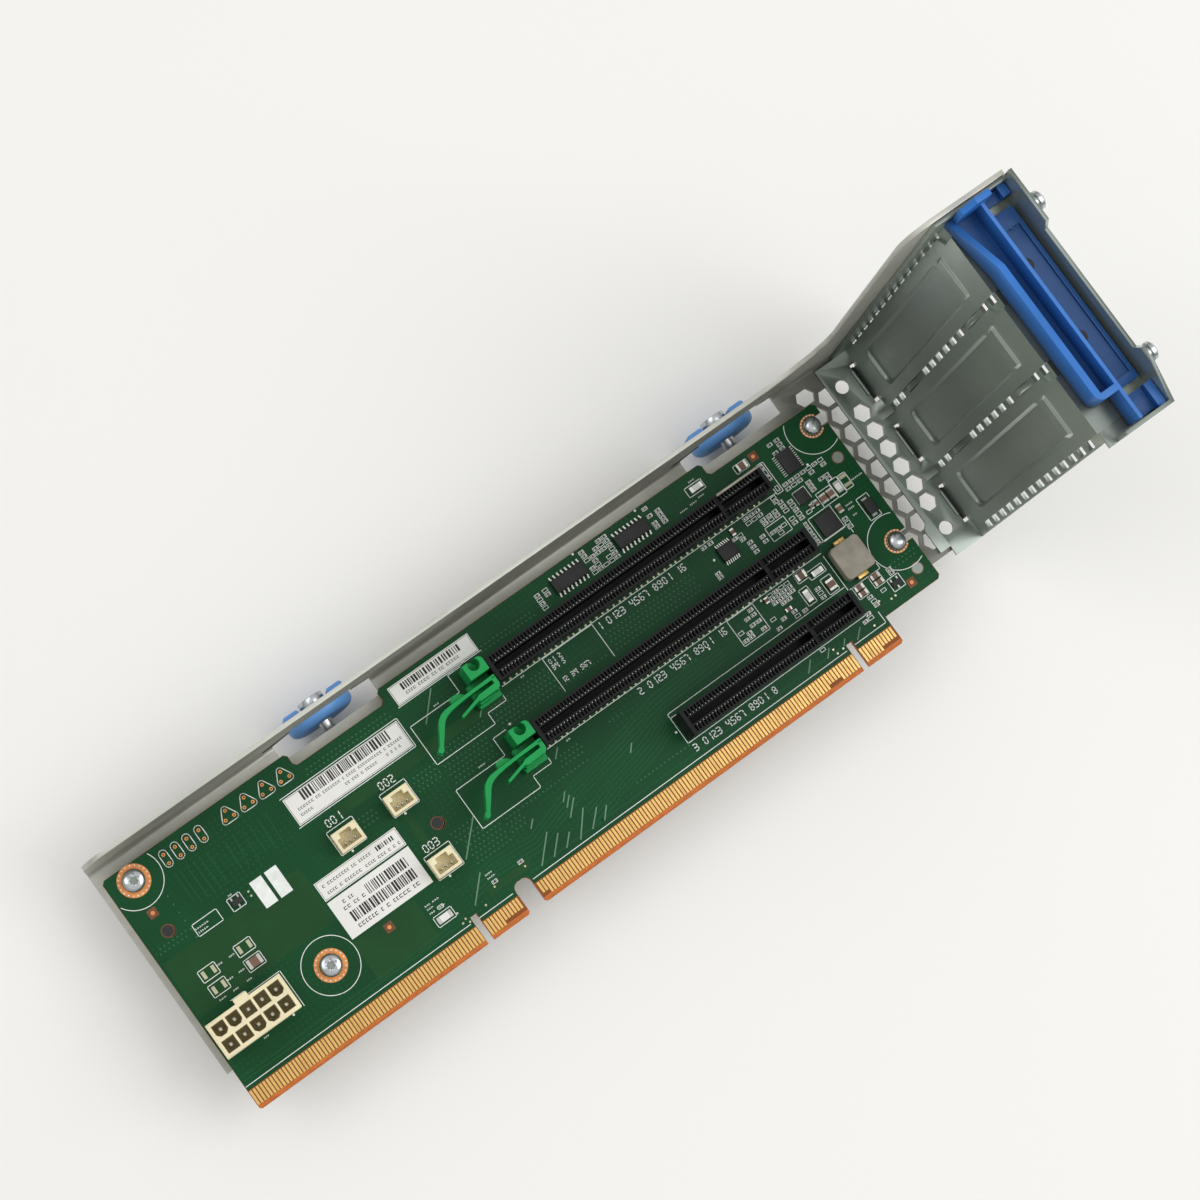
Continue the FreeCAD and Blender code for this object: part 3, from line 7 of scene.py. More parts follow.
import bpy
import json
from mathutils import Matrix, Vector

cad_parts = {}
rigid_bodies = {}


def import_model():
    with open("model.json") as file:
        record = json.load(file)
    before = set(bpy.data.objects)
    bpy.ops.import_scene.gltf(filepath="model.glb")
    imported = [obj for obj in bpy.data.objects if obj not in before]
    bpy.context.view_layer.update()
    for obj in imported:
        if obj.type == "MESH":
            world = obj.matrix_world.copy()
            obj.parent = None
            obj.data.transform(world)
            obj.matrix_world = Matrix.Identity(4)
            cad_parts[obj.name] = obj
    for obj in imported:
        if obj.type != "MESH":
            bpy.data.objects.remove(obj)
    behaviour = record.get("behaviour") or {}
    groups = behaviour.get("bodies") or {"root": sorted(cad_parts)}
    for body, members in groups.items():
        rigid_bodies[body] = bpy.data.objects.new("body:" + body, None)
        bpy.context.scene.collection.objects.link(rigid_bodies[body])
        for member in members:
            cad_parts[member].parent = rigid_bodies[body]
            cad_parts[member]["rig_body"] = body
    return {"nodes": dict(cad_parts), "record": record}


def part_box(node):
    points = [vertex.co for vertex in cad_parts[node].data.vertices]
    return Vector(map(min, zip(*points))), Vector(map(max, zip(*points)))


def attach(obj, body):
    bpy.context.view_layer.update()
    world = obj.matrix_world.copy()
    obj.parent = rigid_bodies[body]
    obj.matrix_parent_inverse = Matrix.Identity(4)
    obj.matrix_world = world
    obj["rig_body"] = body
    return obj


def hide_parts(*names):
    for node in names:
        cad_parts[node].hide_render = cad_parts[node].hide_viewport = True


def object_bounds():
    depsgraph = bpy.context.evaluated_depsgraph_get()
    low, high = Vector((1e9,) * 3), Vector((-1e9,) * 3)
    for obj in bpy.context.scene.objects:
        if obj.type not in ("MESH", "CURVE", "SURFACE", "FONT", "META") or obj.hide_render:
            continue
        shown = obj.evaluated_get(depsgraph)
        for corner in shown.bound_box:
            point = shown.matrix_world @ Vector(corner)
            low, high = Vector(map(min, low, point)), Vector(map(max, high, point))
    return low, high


bl_info = {
    "name": "Server Riser",
    "version": (1, 0, 0),
    "blender": (4, 5, 0),
    "location": "View3D > Sidebar > Riser",
    "description": "Dresses the solids of a server riser with its board detail and finishes",
    "category": "Object",
}

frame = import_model()

import json
import math
import random
from typing import NamedTuple

import bmesh
import bpy
from mathutils import Vector

MM = 0.001
CAD_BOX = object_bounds()
BOARD_LOW, BOARD_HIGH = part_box("circuit_board")
BOARD_LONG = (BOARD_HIGH.x - BOARD_LOW.x) / MM
BOARD_WIDE = (BOARD_HIGH.y - BOARD_LOW.y) / MM
BOARD_THICK = (BOARD_HIGH.z - BOARD_LOW.z) / MM
SLOTS = {row["node"]: row["material_slot"] for row in frame["record"]["subparts"]}
SUNK = -0.01          # floor of flat detail, let a little into what carries it
COPPER_HIGH = 0.02    # top of bare copper over the board
UNIT = {"Long": 1.0, "Wide": 1.0, "High": 1.0}


def tint(code):
    """A colour from its six-figure screen code, as linear light."""
    parts = [int(code[step:step + 2], 16) / 255 for step in (0, 2, 4)]
    return [part / 12.92 if part < 0.04045 else ((part + 0.055) / 1.055) ** 2.4 for part in parts]


def on_board(across, up, rise=0.0):
    """A place on the board in metres."""
    return Vector((BOARD_LOW.x + across * MM, BOARD_LOW.y + up * MM, BOARD_HIGH.z + rise * MM))


def from_board(place):
    """A place in metres as millimetres along, across and above the board."""
    corner = (BOARD_LOW.x, BOARD_LOW.y, BOARD_HIGH.z)
    return [(part - start) / MM for part, start in zip(place, corner)]


def shade(title, note, code):
    """A colour that a user may change."""
    return bpy.props.FloatVectorProperty(
        name=title, description=note, subtype="COLOR", size=3, min=0.0, max=1.0, default=tint(code),
    )


def length(title, note, number):
    """A length in millimetres that a user may change, kept in metres."""
    return bpy.props.FloatProperty(
        name=title, description=note, unit="LENGTH", min=0.0, precision=5, default=number * MM,
    )


def strength(title, note, number, unit="NONE"):
    """The strength of a light that a user may change."""
    return bpy.props.FloatProperty(name=title, description=note, unit=unit, min=0.0, default=number)


class RiserColours(bpy.types.PropertyGroup):
    """Colours of the riser's finishes, by the finishes' names."""

    board_green: shade("Board", "Green solder mask", "0C4725")
    mask_light: shade("Mask over copper", "Green solder mask over copper", "175530")
    mask_plane: shade("Mask over planes", "Green solder mask over wide copper", "1D4C26")
    mask_pale: shade("Mask over vias", "Pale solder mask over filled vias", "3F7350")
    # Paler than the mask over other copper: partly the mask over the short traces, partly a painted sheen for
    # the glare on them.
    mask_trace: shade("Mask over traces", "Pale solder mask over short traces", "6F9179")
    laminate: shade("Laminate", "Cut edge and bevel of the board", "CF763A")
    gold: shade("Gold", "Plated fingers and pads", "E9C074")
    copper: shade("Copper", "Bare rings round the fixings", "E79A5C")
    galvanised: shade("Galvanised sheet", "Folded cage", "CDCDC4")
    dark_steel: shade("Dark steel", "End bracket and slot covers", "9DA69F")
    bright_steel: shade("Bright steel", "Screws and studs", "C9CDD0")
    tin: shade("Tin", "Leads and solder", "C8C8C2")
    socket_black: shade("Black plastic", "Card sockets", "101112")
    chip_black: shade("Chip plastic", "Chip bodies", "1E1E20")
    ferrite: shade("Ferrite", "Moulded inductor", "A49D8F")
    clip_green: shade("Clip green", "Card clips", "0C9C4E")
    ivory: shade("Ivory", "Headers", "F0E5C0")
    paper: shade("Paper", "Labels", "E9E8E4")
    ink: shade("Ink", "Print on the labels", "161617")
    print_white: shade("Print white", "Print on the board", "F0F3F0")
    blue_plastic: shade("Blue plastic", "Retainer", "2C66AE")
    # A lighter copy of the blue plastic: painted light on the knobs, which are of the same plastic as the
    # retainer.
    knob_blue: shade("Knob blue", "Latch knobs", "6299D8")
    capacitor: shade("Capacitor brown", "Ceramic capacitors", "7A5A48")


class RiserSizes(bpy.types.PropertyGroup):
    """Sizes of the riser's fine detail."""

    finger_pitch: length("Finger pitch", "Spacing of the gold fingers", 1.0)
    finger_wide: length("Finger width", "Width of one gold finger", 0.66)
    print_wide: length("Print width", "Width of a line of print", 0.2)
    print_high: length("Print height", "Height of print over its surface", 0.03)
    contact_pitch: length("Contact pitch", "Spacing of the card contacts", 1.0)
    rib_wide: length("Rib width", "Rib between two contact pockets", 0.42)
    board_edge: length("Board edge", "Bevel of the board's edges", 0.3)
    sheet_edge: length("Sheet edge", "Softness of the sheet metal's edges", 0.18)
    moulded_edge: length("Moulded edge", "Softness of moulded edges", 0.3)
    clip_edge: length("Clip edge", "Softness of the card clips' edges", 0.22)
    header_edge: length("Header edge", "Softness of the headers' edges", 0.14)
    pin_edge: length("Pin edge", "Softness of the header pins' edges", 0.12)
    chip_edge: length("Chip edge", "Softness of chip edges", 0.12)
    inductor_edge: length("Inductor edge", "Softness of the inductor's edges", 0.35)
    standoff_edge: length("Standoff edge", "Softness of the standoffs' edges", 0.2)
    stud_edge: length("Stud edge", "Softness of the latch studs' edges", 0.35)
    label_edge: length("Label edge", "Softness of the labels' edges", 0.03)


class RiserStage(bpy.types.PropertyGroup):
    """Floor, light and camera."""

    floor: shade("Floor", "Pale paper floor", "F3F2F0")
    floor_size: length("Floor size", "Side of the floor", 14000.0)
    sky: strength("Sky", "Strength of the light from overhead", 0.85)
    horizon: strength("Horizon", "Strength of the light from the sides", 0.3)
    key_power: strength("Key power", "Power of the large lamp", 9.0, "POWER")
    fill_power: strength("Fill power", "Power of the small lamp", 3.0, "POWER")
    lens: bpy.props.FloatProperty(
        name="Lens", description="Focal length on a 36 mm sensor", min=1.0, unit="CAMERA", default=85.57,
    )
    camera_place: bpy.props.FloatVectorProperty(
        name="Camera place", description="Where the camera stands", subtype="TRANSLATION", size=3,
        default=(-0.098361, 0.005145, 0.736736),
    )
    camera_turn: bpy.props.FloatVectorProperty(
        name="Camera turn", description="How the camera is turned", subtype="EULER", size=3,
        default=(math.radians(9.5602), math.radians(-6.5759), math.radians(-36.1514)),
    )


class RiserSettings(bpy.types.PropertyGroup):
    """All settings of the riser."""

    colours: bpy.props.PointerProperty(type=RiserColours)
    sizes: bpy.props.PointerProperty(type=RiserSizes)
    stage: bpy.props.PointerProperty(type=RiserStage)


def colours():
    """The colour settings of the scene."""
    return bpy.context.scene.riser.colours


def sizes():
    """The size settings of the scene."""
    return bpy.context.scene.riser.sizes


def feed(tree, socket, value):
    """Link an output to a socket, or set a plain value on it."""
    if isinstance(value, bpy.types.NodeSocket):
        tree.links.new(value, socket)
    else:
        socket.default_value = value


def add_node(tree, kind, inputs=(), **settings):
    """Add a node with its settings, and feed its inputs by name or number."""
    node = tree.nodes.new(kind)
    for name, value in settings.items():
        setattr(node, name, value)
    for name, value in dict(inputs).items():
        feed(tree, node.inputs[name], value)
    return node


def worked_out(tree, operation, *values):
    """A Math node of one or more values."""
    return add_node(tree, "ShaderNodeMath", enumerate(values), operation=operation).outputs["Value"]


class Paint:
    """One procedural material, put together node by node on Object coordinates."""

    MIX_FIRST, MIX_SECOND, MIX_RESULT = 6, 7, 2    # a Mix node's colour sockets

    def __init__(self, name, roughness, metallic=0.0):
        self.material = bpy.data.materials.new(name)
        self.material.use_nodes = True
        self.tree = self.material.node_tree
        self.place = add_node(self.tree, "ShaderNodeTexCoord").outputs["Object"]
        self.put("Roughness", roughness)
        self.put("Metallic", metallic)

    def put(self, name, value):
        """Link or set one input of the shader."""
        feed(self.tree, self.tree.nodes["Principled BSDF"].inputs[name], value)

    def number(self, operation, *values):
        """A Math node of one or more values."""
        return worked_out(self.tree, operation, *values)

    def axis(self, name, source=None):
        """One axis of a vector, by default of the place."""
        return add_node(self.tree, "ShaderNodeSeparateXYZ", {"Vector": source or self.place}).outputs[name]

    def facing(self, name):
        """One axis of the surface's normal."""
        return self.axis(name, add_node(self.tree, "ShaderNodeNewGeometry").outputs["Normal"])

    def lying(self):
        """1 where the surface lies flat and looks up, 0 where it is steep."""
        return self.between(self.facing("Z"), 0.6, 0.95)

    def noise(self, scale, detail, stretch=(1.0, 1.0, 1.0)):
        """Cloudy noise with a given number of lumps to the metre, scaled along its axes."""
        place = add_node(self.tree, "ShaderNodeMapping", {"Vector": self.place, "Scale": stretch})
        inputs = {"Vector": place.outputs["Vector"], "Scale": scale, "Detail": detail}
        return add_node(self.tree, "ShaderNodeTexNoise", inputs).outputs["Fac"]

    def cells(self, scale):
        """Random grey for each cell of a cell pattern."""
        node = add_node(self.tree, "ShaderNodeTexVoronoi", {"Vector": self.place, "Scale": scale})
        return self.axis("X", node.outputs["Color"])

    def between(self, value, low, high, start=0.0, end=1.0):
        """A value moved from one range to another and held inside it."""
        inputs = {"Value": value, "From Min": low, "From Max": high, "To Min": start, "To Max": end}
        return add_node(self.tree, "ShaderNodeMapRange", inputs).outputs["Result"]

    def mixed(self, factor, first, second):
        """Two colours mixed by a factor."""
        inputs = {"Factor": factor}
        for place, value in ((self.MIX_FIRST, first), (self.MIX_SECOND, second)):
            inputs[place] = value if isinstance(value, bpy.types.NodeSocket) else (*value, 1.0)
        return add_node(self.tree, "ShaderNodeMix", inputs, data_type="RGBA").outputs[self.MIX_RESULT]

    def bump(self, height, distance, strength):
        """Raise the surface by a height pattern; the distance is in millimetres."""
        inputs = {"Height": height, "Distance": distance * MM, "Strength": strength}
        self.put("Normal", add_node(self.tree, "ShaderNodeBump", inputs).outputs["Normal"])


def darker(colour, share):
    """A colour with a share of its light."""
    return [part * share for part in colour]


class Mottle(NamedTuple):
    """Numbers of a finish with faint clouds in its colour and a fine grain."""

    name: str
    roughness: float
    metallic: float
    lumps: float                      # to the metre
    depth: float                      # share of light that the clouds take away
    grain: float                      # height in millimetres
    shader: tuple = ()                # other inputs of the shader
    tone: str = ""                    # colour setting, where it isn't the finish's own
    share: tuple = (1.0, 1.0, 1.0)    # of that colour's light


def grained(row):
    """Start a finish with a fine grain that varies its roughness."""
    paint = Paint(row.name, row.roughness, row.metallic)
    grain = paint.noise(row.lumps * 6.0, 2.0)
    paint.put("Roughness", paint.between(grain, 0.3, 0.7, row.roughness * 0.85, row.roughness * 1.15))
    paint.bump(grain, row.grain, 0.4)
    for name, value in row.shader:
        paint.put(name, value)
    return paint


def paint_plain(slot):
    """A finish from its row of numbers."""
    row = PLAIN_FINISHES[slot]
    paint = grained(row)
    colour = [part * share for part, share in zip(getattr(colours(), row.tone or slot), row.share)]
    cloud = paint.between(paint.noise(row.lumps * 0.2, 4.0), 0.3, 0.7)
    paint.put("Base Color", paint.mixed(cloud, darker(colour, 1.0 - row.depth), colour))
    return paint.material


def paint_galvanised():
    """Zinc-coated sheet: faint spangle cells and rolling streaks, and painted shade on the low flat sheet
    round the vents.
    """
    paint = Paint("galvanised_sheet", 0.5, 0.6)
    base = colours().galvanised
    spangle = paint.between(paint.cells(160.0), 0.0, 1.0, 0.0, 0.25)
    streak = paint.noise(300.0, 4.0, (0.08, 1.0, 1.0))
    wash = paint.mixed(paint.between(streak, 0.3, 0.7), darker(base, 0.8), base)
    spangled = paint.mixed(spangle, wash, darker(base, 0.7))
    # Painted shade: the low, flat sheet round the vents is painted darker, for the shade of the board and the
    # end bracket over it and the dark walls of its holes.
    vents = paint.between(paint.axis("X"), BOARD_HIGH.x - 16.0 * MM, BOARD_HIGH.x - 4.0 * MM)
    low = paint.number("LESS_THAN", paint.axis("Z"), BOARD_LOW.z)
    vent_shade = paint.number("MULTIPLY", paint.number("MULTIPLY", vents, low), paint.lying())
    paint.put("Base Color", paint.mixed(vent_shade, spangled, darker(base, 0.4)))
    paint.put("Roughness", paint.between(streak, 0.25, 0.75, 0.42, 0.56))
    paint.bump(paint.noise(2500.0, 2.0, (0.2, 1.0, 1.0)), 0.01, 0.3)
    return paint.material


def paint_dark_steel():
    """Plated steel with a muted grey-green cast, and painted light and shade: upright faces painted paler
    upwards, flat ones painted darker upwards.
    """
    paint = Paint("dark_plated_steel", 0.32, 0.75)
    base = colours().dark_steel
    cloud = paint.noise(70.0, 4.0)
    # Painted light and shade by height: the upper parts of the upright covers are painted paler, and high
    # flat faces such as the shelf under the retainer painted darker, as shade.
    rise = paint.between(paint.axis("Z"), 50.0 * MM, 108.0 * MM)
    upright = paint.mixed(rise, darker(base, 0.9), darker(base, 1.6))
    flat = paint.mixed(rise, darker(base, 0.86), darker(base, 0.42))
    tone = paint.mixed(paint.lying(), upright, flat)
    paint.put("Base Color", paint.mixed(paint.between(cloud, 0.3, 0.7, 0.0, 0.25), tone, darker(base, 0.7)))
    paint.put("Roughness", paint.between(cloud, 0.3, 0.7, 0.28, 0.37))
    paint.bump(paint.noise(3000.0, 2.0), 0.006, 0.25)
    return paint.material


def paint_gold():
    """Hard gold plating with faint wear along the fingers."""
    paint = Paint("gold_plating", 0.3, 0.65)
    base = colours().gold
    wear = paint.noise(1500.0, 4.0, (1.0, 0.15, 1.0))
    paint.put("Base Color", paint.mixed(paint.between(wear, 0.35, 0.7), base, darker(base, 0.74)))
    paint.put("Roughness", paint.between(wear, 0.3, 0.7, 0.24, 0.42))
    return paint.material


def paint_board():
    """Green solder mask with faint via dots; the tongues are bare, and cut edges show the laminate."""
    paint = Paint("solder_mask", 0.36)
    tone = colours()
    cloud = paint.between(paint.noise(45.0, 3.0), 0.35, 0.65)
    field = paint.between(paint.noise(60.0, 1.0), 0.5, 0.54, 0.15, 0.5)
    dots = dot_grid(paint, 1.5 * MM, 0.22)
    mask = paint.mixed(cloud, darker(tone.board_green, 0.82), tone.board_green)
    dotted = paint.mixed(paint.number("MULTIPLY", dots, field), mask, tone.mask_light)
    grain = paint.noise(1800.0, 3.0, (0.3, 1.0, 1.0))
    edge = paint.mixed(paint.between(grain, 0.3, 0.7), darker(tone.laminate, 0.7), tone.laminate)
    upright = paint.number("LESS_THAN", paint.number("ABSOLUTE", paint.facing("Z")), 0.9)
    bare = paint.number("LESS_THAN", paint.axis("Y"), BOARD_LOW.y + 5.7 * MM)
    tip = paint.number("LESS_THAN", paint.axis("Y"), BOARD_LOW.y + 1.3 * MM)
    tongue = paint.mixed(bare, dotted, darker(tone.laminate, 0.4))
    paint.put("Base Color", paint.mixed(paint.number("MAXIMUM", upright, tip), tongue, edge))
    paint.bump(dots, 0.015, 0.4)
    paint.put("Specular IOR Level", 0.16)
    return paint.material


def dot_grid(paint, pitch, radius):
    """Round dots on a square grid in X and Y; the radius is a share of the pitch."""
    squares = []
    for name in ("X", "Y"):
        cell = paint.number("FRACT", paint.number("DIVIDE", paint.axis(name), pitch))
        offset = paint.number("SUBTRACT", cell, 0.5)
        squares.append(paint.number("MULTIPLY", offset, offset))
    reach = paint.number("SQRT", paint.number("ADD", *squares))
    return paint.between(reach, radius + 0.06, radius - 0.06)


BLUE_MOULDING = Mottle("blue_moulding", 0.38, 0.0, 500.0, 0.4, 0.012, (("Specular IOR Level", 0.3),))


def paint_blue():
    """Blue moulding with a fine spark-eroded grain, and painted light and shade: paler along its upper rims
    as a painted highlight, darker low down as painted shade.
    """
    paint = grained(BLUE_MOULDING)
    base = colours().blue_plastic
    cloud = paint.between(paint.noise(BLUE_MOULDING.lumps * 0.2, 4.0), 0.3, 0.7, 0.0, 0.35)
    # Painted light and shade by height: the low panel and trough are painted darker, the upper rims paler.
    rise = paint.between(paint.axis("Z"), 113.0 * MM, 121.0 * MM)
    tone = paint.mixed(rise, darker(base, 0.5), darker(base, 1.5))
    paint.put("Base Color", paint.mixed(cloud, tone, darker(base, 1.0 - BLUE_MOULDING.depth)))
    return paint.material


MASK_GLOSS = (("Specular IOR Level", 0.16),)
SOCKET_GLOSS = (("Specular IOR Level", 0.22),)
CLIP_GLOW = (
    ("Specular IOR Level", 0.28), ("Subsurface Weight", 0.12),
    ("Subsurface Radius", (0.4 * MM, 0.9 * MM, 0.5 * MM)),
)
IVORY_GLOW = (("Subsurface Weight", 0.35), ("Subsurface Radius", (1.8 * MM, 1.5 * MM, 0.8 * MM)))
PLAIN_FINISHES = {
    "bright_steel": Mottle("bright_plating", 0.24, 1.0, 2000.0, 0.2, 0.004),
    "tin": Mottle("tinned_metal", 0.32, 1.0, 2500.0, 0.2, 0.005),
    "solder": Mottle("warm_solder", 0.28, 0.7, 2500.0, 0.15, 0.01, (), "tin", (1.0, 1.0, 0.72)),
    "copper": Mottle("bare_copper", 0.45, 0.7, 2500.0, 0.3, 0.006),
    "laminate": Mottle("bare_laminate", 0.5, 0.0, 1800.0, 0.3, 0.004, (), "laminate", (0.3, 0.3, 0.3)),
    "mask_light": Mottle("mask_over_copper", 0.36, 0.0, 400.0, 0.25, 0.004, MASK_GLOSS),
    "mask_plane": Mottle("mask_over_plane", 0.36, 0.0, 400.0, 0.25, 0.004, MASK_GLOSS),
    "mask_pale": Mottle("mask_over_vias", 0.36, 0.0, 400.0, 0.25, 0.004, MASK_GLOSS),
    "mask_trace": Mottle("mask_over_traces", 0.36, 0.0, 400.0, 0.25, 0.004, MASK_GLOSS),
    "socket_black": Mottle("socket_moulding", 0.5, 0.0, 1500.0, 0.3, 0.01, SOCKET_GLOSS),
    "chip_black": Mottle("chip_moulding", 0.6, 0.0, 2500.0, 0.25, 0.01),
    "ferrite": Mottle("pressed_powder", 0.7, 0.0, 1500.0, 0.3, 0.03),
    "clip_green": Mottle("green_nylon", 0.42, 0.0, 600.0, 0.16, 0.008, CLIP_GLOW),
    "ivory": Mottle("ivory_nylon", 0.45, 0.0, 700.0, 0.1, 0.008, IVORY_GLOW),
    "paper": Mottle("label_paper", 0.62, 0.0, 900.0, 0.05, 0.004),
    "ink": Mottle("label_ink", 0.6, 0.0, 2500.0, 0.35, 0.002),
    "print_white": Mottle("white_print", 0.6, 0.0, 2500.0, 0.18, 0.004),
    "knob_blue": Mottle("knob_moulding", 0.45, 0.0, 500.0, 0.12, 0.012),
    "capacitor": Mottle("brown_ceramic", 0.5, 0.0, 2500.0, 0.25, 0.005),
}
OWN_FINISHES = {
    "galvanised": paint_galvanised, "dark_steel": paint_dark_steel, "gold": paint_gold,
    "board_green": paint_board, "blue_plastic": paint_blue,
}
painted = {}


def finish(slot):
    """The material of a slot, made the first time it is asked for."""
    if slot not in painted:
        painted[slot] = OWN_FINISHES[slot]() if slot in OWN_FINISHES else paint_plain(slot)
    return painted[slot]


def linked(name, data):
    """An object of the scene for a mesh, a lamp or a camera."""
    item = bpy.data.objects.new(name, data)
    bpy.context.scene.collection.objects.link(item)
    return item


def piece_of(form, name, slot):
    """An object in the finish of a slot from a finished form."""
    mesh = bpy.data.meshes.new(name)
    form.to_mesh(mesh)
    form.free()
    mesh.materials.append(finish(slot))
    return linked(name, mesh)


def seat(piece, body="root", nodes=()):
    """Give a finished piece its body and the nodes that it stands for."""
    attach(piece, body)
    if nodes:
        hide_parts(*nodes)
    return piece


def settled(piece):
    """Turn a piece's modifiers into its plain mesh."""
    view = bpy.context.evaluated_depsgraph_get()
    mesh = bpy.data.meshes.new_from_object(piece.evaluated_get(view))
    piece.modifiers.clear()
    piece.data = mesh
    return piece


def softened(node, edge, segments=2, smooth=True):
    """Stand a copy of a solid with softened edges in its place."""
    source = frame["nodes"][node]
    form = bmesh.new()
    form.from_mesh(source.data)
    bmesh.ops.remove_doubles(form, verts=form.verts, dist=0.002 * MM)
    bmesh.ops.dissolve_limit(form, angle_limit=math.radians(0.5), verts=form.verts, edges=form.edges)
    piece = piece_of(form, f"{node}_soft", SLOTS[node])
    soften(piece, edge, segments, 32, smooth)
    return seat(piece, source["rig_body"], [node])


def soften(piece, edge, segments, limit, smooth=True):
    """Round the edges of a piece that are sharper than a limit in degrees."""
    if smooth:
        piece.data.shade_smooth()
    bevel = piece.modifiers.new("Soft edges", "BEVEL")
    bevel.width = edge
    bevel.segments = segments
    bevel.limit_method = "ANGLE"
    bevel.angle_limit = math.radians(limit)
    bevel.harden_normals = smooth
    settled(piece)


def ringed(items):
    """Each item of a ring with the one after it."""
    return list(zip(items, items[1:] + items[:1]))


def on_circle(middle, radius, angle):
    """The point at an angle in degrees on a circle."""
    turn = math.radians(angle)
    return middle[0] + radius * math.cos(turn), middle[1] + radius * math.sin(turn)


def arc(middle, radius, first, last, count):
    """Points along an arc between two angles, in a number of steps."""
    return [on_circle(middle, radius, first + (last - first) * step / count) for step in range(count + 1)]


def moved(outline, across, up):
    """An outline moved along and across the board."""
    return [(across + place[0], up + place[1], *place[2:]) for place in outline]


def spun(reach, rise, turn, axis):
    """A vector at a radius, a height and an angle round an axis."""
    first = reach * math.cos(turn)
    second = reach * math.sin(turn)
    return Vector({"X": (rise, first, second), "Y": (second, rise, first), "Z": (first, second, rise)}[axis])


class Shape:
    """A mesh put together from closed forms. Places are in board millimetres."""

    def __init__(self):
        self.form = bmesh.new()

    def points(self, places):
        """New points of the mesh at places in metres."""
        return [self.form.verts.new(place) for place in places]

    def band(self, first, second):
        """Faces between two rings of points."""
        for here, there in zip(ringed(first), ringed(second)):
            self.form.faces.new((*here, *there[::-1]))

    def capped(self, rings):
        """A closed form through rings of points."""
        self.form.faces.new(rings[0][::-1])
        self.form.faces.new(rings[-1])
        for here, there in zip(rings, rings[1:]):
            self.band(here, there)

    def loft(self, first, second):
        """A closed form between two rings of board points."""
        self.capped([self.points(on_board(*place) for place in ring) for ring in (first, second)])

    def prism(self, outline, low, high):
        """An upright prism over an outline of board points, counted anticlockwise."""
        self.loft([(*place, low) for place in outline], [(*place, high) for place in outline])

    def upright(self, outline, left, right):
        """A prism along the board over an outline of places across and above it."""
        self.loft([(left, *place) for place in outline], [(right, *place) for place in outline])

    def crosswise(self, outline, low, high):
        """A prism across the board over an outline of places along and above it."""
        self.loft([(across, low, rise) for across, rise in outline],
                  [(across, high, rise) for across, rise in outline])

    def box(self, left, low, right, high, floor, top):
        """A box between two board corners and two levels."""
        self.prism([(left, low), (right, low), (right, high), (left, high)], floor, top)

    def bar(self, start, end, wide, floor, top):
        """A straight bar between two board points."""
        first = Vector(start)
        last = Vector(end)
        side = Vector((first.y - last.y, last.x - first.x)).normalized() * wide / 2
        self.prism([first - side, last - side, last + side, first + side], floor, top)

    def ring(self, middle, inner, outer, floor, top, count=32):
        """A flat ring round a board point."""
        section = [(inner, floor), (outer, floor), (outer, top), (inner, top)]
        self.swept(section, on_board(*middle), "Z", count)

    def disc(self, middle, radius, floor, top, count=12):
        """A flat disc on the board."""
        self.prism(arc(middle, radius, 0, 360, count)[:-1], floor, top)

    def sheet(self, left, thick, ups, rises, depth):
        """A thin upright sheet on a grid of lines across and above the board, pressed to a depth."""
        borders = []
        for face in (left, left + thick):
            grid = [self.points(on_board(face + depth(up, rise), up, rise) for up in ups) for rise in rises]
            for below, above in zip(grid, grid[1:]):
                for low, high in zip(zip(below, below[1:]), zip(above, above[1:])):
                    self.form.faces.new((*low, *high[::-1]))
            borders.append(grid[0] + [line[-1] for line in grid[1:]] + grid[-1][-2::-1]
                           + [line[0] for line in grid[-2:0:-1]])
        self.band(*borders)

    def turned(self, section, centre, axis, turn, lobes=None):
        """Points of a section of radius and height at one angle round an axis."""
        if lobes:
            section = [(lobes(radius, rise, turn), rise) for radius, rise in section]
        return self.points(centre + spun(radius * MM, rise * MM, turn, axis) for radius, rise in section)

    def swept(self, section, centre, axis, count=48):
        """A closed section of radius and height turned once round an axis through a place in metres."""
        for here, there in ringed([self.turned(section, centre, axis, turn) for turn in full_turn(count)]):
            self.band(here, there)

    def lathe(self, profile, centre, axis, count=48, lobes=None):
        """A solid turned from a profile of radius and height that starts and ends on the axis.

        Where lobes is given, it changes a radius by the angle, for a socket that isn't round.
        """
        poles = self.turned((profile[0], profile[-1]), centre, axis, 0.0)
        lines = [self.turned(profile[1:-1], centre, axis, turn, lobes) for turn in full_turn(count)]
        rings = [list(ring) for ring in zip(*lines)]
        for here, there in zip(rings, rings[1:]):
            self.band(here, there)
        for pole, ring in zip(poles, (rings[0][::-1], rings[-1])):
            for edge in ringed(ring):
                self.form.faces.new((*edge, pole))

    def piece(self, name, slot, body="root", nodes=(), smooth=None, edge=0.0):
        """Finish the mesh as one piece.

        Smooth is the angle in degrees up to which edges are round, and edge the softness of the others.
        """
        bmesh.ops.recalc_face_normals(self.form, faces=self.form.faces)
        piece = piece_of(self.form, name, slot)
        if edge:
            soften(piece, edge, 2, 40)
        elif smooth:
            piece.data.shade_smooth()
            piece.data.set_sharp_from_angle(angle=math.radians(smooth))
        return seat(piece, body, nodes)


def full_turn(count):
    """Angles in equal steps once round."""
    return [2 * math.pi * step / count for step in range(count)]


def node_group(name, labels):
    """Start a Geometry Nodes group with points, named lengths and a material in, and pieces out."""
    tree = bpy.data.node_groups.new(name, "GeometryNodeTree")
    sockets = [("Points", "INPUT", "Geometry"), *((label, "INPUT", "Float") for label in labels),
               ("Finish", "INPUT", "Material"), ("Pieces", "OUTPUT", "Geometry")]
    for label, way, kind in sockets:
        tree.interface.new_socket(label, in_out=way, socket_type=f"NodeSocket{kind}")
    return tree, tree.nodes.new("NodeGroupInput").outputs


